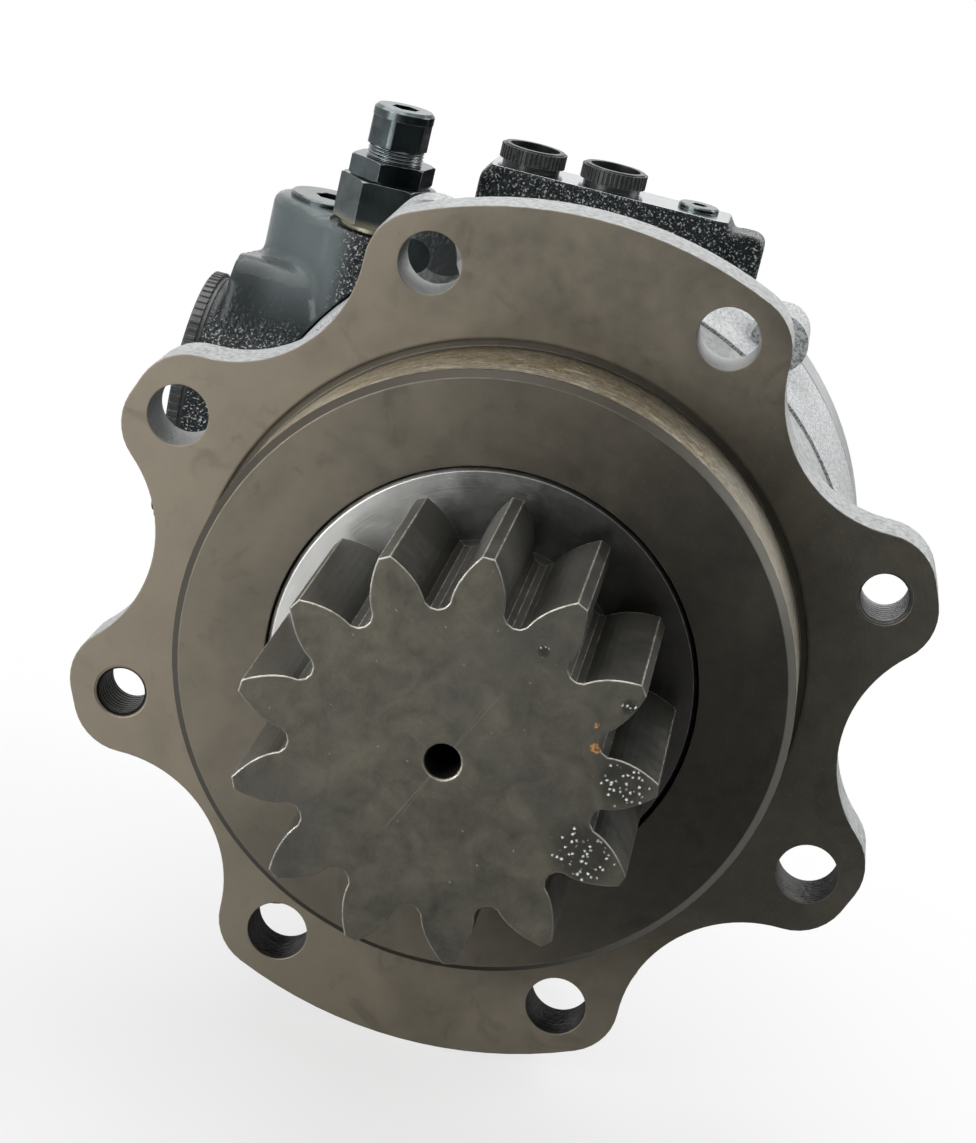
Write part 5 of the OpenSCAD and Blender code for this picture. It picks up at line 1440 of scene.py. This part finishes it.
@dataclass(frozen=True)
class SoftCasting:
    """A casting with rounded raw edges, whose machined faces and bores are cut afterwards.

    Groups of cuts follow each other, and the cuts of one group don't touch. The voxel is in
    millimetres, and softness is the number of smoothing passes.
    """

    name: str
    node: str
    body: str
    slot: str
    finish: Finish
    stock: tuple[Stock, ...]
    fills: tuple[Bore, ...]
    cuts: tuple[tuple[Union[Bore, Block], ...], ...]
    voxel: float = 1.3
    softness: int = 8
    sharp_angle: float = math.radians(35)

    def build(self, frame: dict) -> bpy.types.Object:
        """Makes the casting and puts it in the node's place.


        Returns:
            The new piece.
        """
        raw = bpy.data.objects.new(self.name, frame["nodes"][self.node].data.copy())
        bpy.context.scene.collection.objects.link(raw)
        raw.data.materials.clear()
        self.pick(raw)
        bpy.ops.object.mode_set(mode="EDIT")
        bpy.ops.mesh.select_all(action="SELECT")
        bpy.ops.mesh.remove_doubles(threshold=0.002 * MM)
        bpy.ops.object.mode_set(mode="OBJECT")
        for stock in self.stock:
            self.grow(raw, stock)
        for fill in self.fills:
            made = fill.make()
            self.pick(raw)
            made.select_set(True)
            bpy.ops.object.join()
        self.apply(raw, "REMESH", mode="VOXEL", voxel_size=self.voxel * MM)
        self.apply(raw, "SMOOTH", factor=0.5, iterations=self.softness)
        for cutters in self.cuts:
            self.cut(raw, cutters)
        self.pick(raw)
        bpy.ops.object.shade_smooth_by_angle(angle=self.sharp_angle)
        raw.data.materials.clear()
        raw.data.materials.append(self.finish.material())
        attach(raw, self.body)
        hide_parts(self.node)
        LOG.info("%s stands for %s with %d faces", self.name, self.node, len(raw.data.polygons))
        return raw

    @staticmethod
    def pick(piece: bpy.types.Object) -> None:
        """Selects one piece alone and makes it active."""
        bpy.ops.object.select_all(action="DESELECT")
        piece.select_set(True)
        bpy.context.view_layer.objects.active = piece

    def grow(self, piece: bpy.types.Object, stock: Stock) -> None:
        """Extrudes the flat faces that lie at one level.

        Args:
            piece: The casting.
            stock: Which faces and how far.
        """
        way = Vector(stock.direction)
        self.pick(piece)
        bpy.ops.object.mode_set(mode="EDIT")
        bpy.ops.mesh.select_mode(type="FACE")
        bpy.ops.mesh.select_all(action="DESELECT")
        bpy.ops.object.mode_set(mode="OBJECT")
        for face in piece.data.polygons:
            level = face.center.dot(way) / MM
            flat = face.normal.dot(way) > FLAT
            face.select = flat and abs(level - stock.level) < LEVEL_PLAY
        bpy.ops.object.mode_set(mode="EDIT")
        shift = {"value": tuple(way * stock.growth * MM)}
        bpy.ops.mesh.extrude_region_move(TRANSFORM_OT_translate=shift)
        bpy.ops.object.mode_set(mode="OBJECT")

    def apply(self, piece: bpy.types.Object, kind: str, **options: object) -> None:
        """Adds a modifier, sets its options and applies it.

        Args:
            piece: The casting.
            kind: Blender's name of the modifier's type.
            options: Properties of the modifier.
        """
        self.pick(piece)
        bpy.ops.object.modifier_add(type=kind)
        modifier = piece.modifiers[-1]
        for name, value in options.items():
            setattr(modifier, name, value)
        bpy.ops.object.modifier_apply(modifier=modifier.name)

    def cut(self, piece: bpy.types.Object, cutters: tuple[Union[Bore, Block], ...]) -> None:
        """Takes several cutters that don't touch each other away from the casting.

        Args:
            piece: The casting.
            cutters: The cutters.
        """
        made = [cutter.make() for cutter in cutters]
        self.pick(made[0])
        for tool in made[1:]:
            tool.select_set(True)
        if len(made) > 1:
            bpy.ops.object.join()
        tool = bpy.context.object
        self.apply(piece, "BOOLEAN", operation="DIFFERENCE", object=tool, solver="MANIFOLD")
        bpy.data.objects.remove(tool)


@dataclass(frozen=True)
class BrakeSprings:
    """The coil springs behind the brake piston, wound where their plain solids stand."""

    finish: Finish
    slot: str
    name: str = "brake_coil_springs"
    node: str = "brake_springs"
    count: int = 10
    coil_radius: float = 4.0 * MM
    wire_radius: float = 0.7 * MM
    wire_sides: int = 8
    turns: int = 5
    steps: int = 20
    travel: float = 1.5 * MM

    def build(self) -> bpy.types.Object:
        """Winds one spring and copies it round the drive axis.

        Returns:
            The new piece.
        """
        low, high = (Vector(corner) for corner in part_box(self.node))
        length = high.y - low.y
        first = self.wind(length - 2 * self.wire_radius)
        spot = Matrix.Translation((high.x - self.coil_radius, low.y + self.wire_radius, 0.0))
        for k in range(1, self.count):
            turn = Matrix.Rotation(2 * math.pi * k / self.count, 4, "Y")
            self.place(first, turn @ spot)
        first.data.transform(spot)
        bpy.ops.object.join()
        spring_set = bpy.context.object
        spring_set.name = self.name
        bpy.ops.object.shade_smooth_by_angle(angle=math.radians(50))
        spring_set.data.materials.append(self.finish.material())
        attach(spring_set, "housing")
        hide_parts(self.node)
        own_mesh(spring_set)
        LOG.info("%s has %d faces", self.name, len(spring_set.data.polygons))
        return spring_set

    def wind(self, rise: float) -> bpy.types.Object:
        """Winds one closed coil about the drive axis.

        Args:
            rise: Height between the first and the last turn's wire.

        Returns:
            The coil, selected and active.
        """
        bpy.ops.object.select_all(action="DESELECT")
        bpy.ops.mesh.primitive_circle_add(
            vertices=self.wire_sides, radius=self.wire_radius,
            location=(self.coil_radius - self.wire_radius, 0, 0))
        bpy.ops.object.transform_apply(location=True, rotation=True, scale=True)
        coil = bpy.context.object
        bpy.ops.object.modifier_add(type="SCREW")
        winding = coil.modifiers[-1]
        winding.axis = "Y"
        winding.iterations = self.turns
        winding.screw_offset = rise / self.turns
        winding.steps = self.steps
        winding.render_steps = self.steps
        bpy.ops.object.modifier_apply(modifier=winding.name)
        bpy.ops.object.mode_set(mode="EDIT")
        bpy.ops.mesh.select_all(action="SELECT")
        bpy.ops.mesh.fill_holes(sides=self.wire_sides)
        bpy.ops.mesh.select_all(action="SELECT")
        bpy.ops.mesh.normals_make_consistent(inside=False)
        bpy.ops.object.mode_set(mode="OBJECT")
        return coil

    @staticmethod
    def place(first: bpy.types.Object, matrix: Matrix) -> None:
        """Copies the first coil to a place and selects the copy too."""
        copy = bpy.data.objects.new(first.name, first.data.copy())
        bpy.context.scene.collection.objects.link(copy)
        copy.data.transform(matrix)
        copy.select_set(True)


def around(radius: float, count: int, first: float, start: float, end: float,
           bore: float) -> tuple[Bore, ...]:
    """Places equal bores along the drive axis on a circle.

    Args:
        radius: Radius of the circle.
        count: How many.
        first: Angle of the first one in degrees.
        start: Where they begin along the axis.
        end: Where they end.
        bore: Radius of each.

    Returns:
        The bores.
    """
    angles = [math.radians(first + 360 * k / count) for k in range(count)]
    spots = [(radius * math.cos(a), radius * math.sin(a)) for a in angles]
    return tuple(Bore((x, start, z), (x, end, z), bore) for x, z in spots)


HEAD_CASTING = SoftCasting(
    name="valve_head_casting", node="valve_head", body="housing", slot="black_paint", finish=BLACK_CAST,
    stock=(Stock((0, 0, 1), 111.0), Stock((0, -1, 0), -152.8), Stock((-1, 0, 0), 121.0),
           Stock((-1, 0, 0), 128.0)),
    fills=(Bore((-74.5, 121, -11), (-74.5, 121, 87), 17),
           Bore((-94.6, 143.5, -11), (-94.6, 143.5, 87), 18.5),
           Bore((-120, 130, 25), (-84, 130, 25), 31)),
    cuts=(
        (Bore((0, 95, 0), (0, 152.8, 0), 102.2), Block((-60, 146, 111), (45, 180, 120)),
         Block((-135, 92, -9), (-121, 168, 64)), Block((-135, 100, -34), (-128, 165, -9.5))),
        (Bore((0, 150, 0), (0, 170.8, 0), 74.06),
         Bore((-35.2, 163.8, 97), (-35.2, 163.8, 112), 7.475),
         Bore((-7.8, 163.8, 97), (-7.8, 163.8, 112), 7.475),
         Bore((21.8, 163.8, 104), (21.8, 163.8, 112), 5.06),
         Bore((-74.5, 121, 85.6), (-74.5, 121, 92), 16.0),
         Bore((-94.6, 143.5, 73.6), (-94.6, 143.5, 92), 10.56),
         Bore((-122, 130, 25), (-107, 130, 25), 15.15),
         Bore((-129, 130, -20), (-119, 130, -20), 3.56),
         *around(87.0, 8, 22.5, 178.0, 201.0, 8.5)),
        (Bore((0, 170, 0), (0, 177.6, 0), 43.7), Bore((-74.5, 121, 80.4), (-74.5, 121, 86), 8.56),
         *around(66.0, 10, 0.0, 170.0, 178.2, 4.3), *around(87.0, 8, 22.5, 152.0, 179.0, 5.5)),
        (Bore((0, 177, 0), (0, 191.4, 0), 20.06),),
        (Bore((0, 191, 0), (0, 193.4, 0), 10.5),),
    ))


def main() -> None:
    """Builds the scene in order."""
    logging.basicConfig(level=logging.INFO, format="%(message)s")
    for kind in (bpy.data.objects, bpy.data.meshes, bpy.data.lights, bpy.data.cameras):
        for item in list(kind):
            kind.remove(item)
    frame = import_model()
    cad_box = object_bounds()
    bpy.ops.object.select_all(action="DESELECT")
    Studio(floor_height=float(cad_box[0][2])).build()
    Motor(frame).dress()
    HEAD_CASTING.build(frame)
    BrakeSprings(BLACK_OXIDE, "black_oxide").build()


if __name__ == "__main__":
    main()
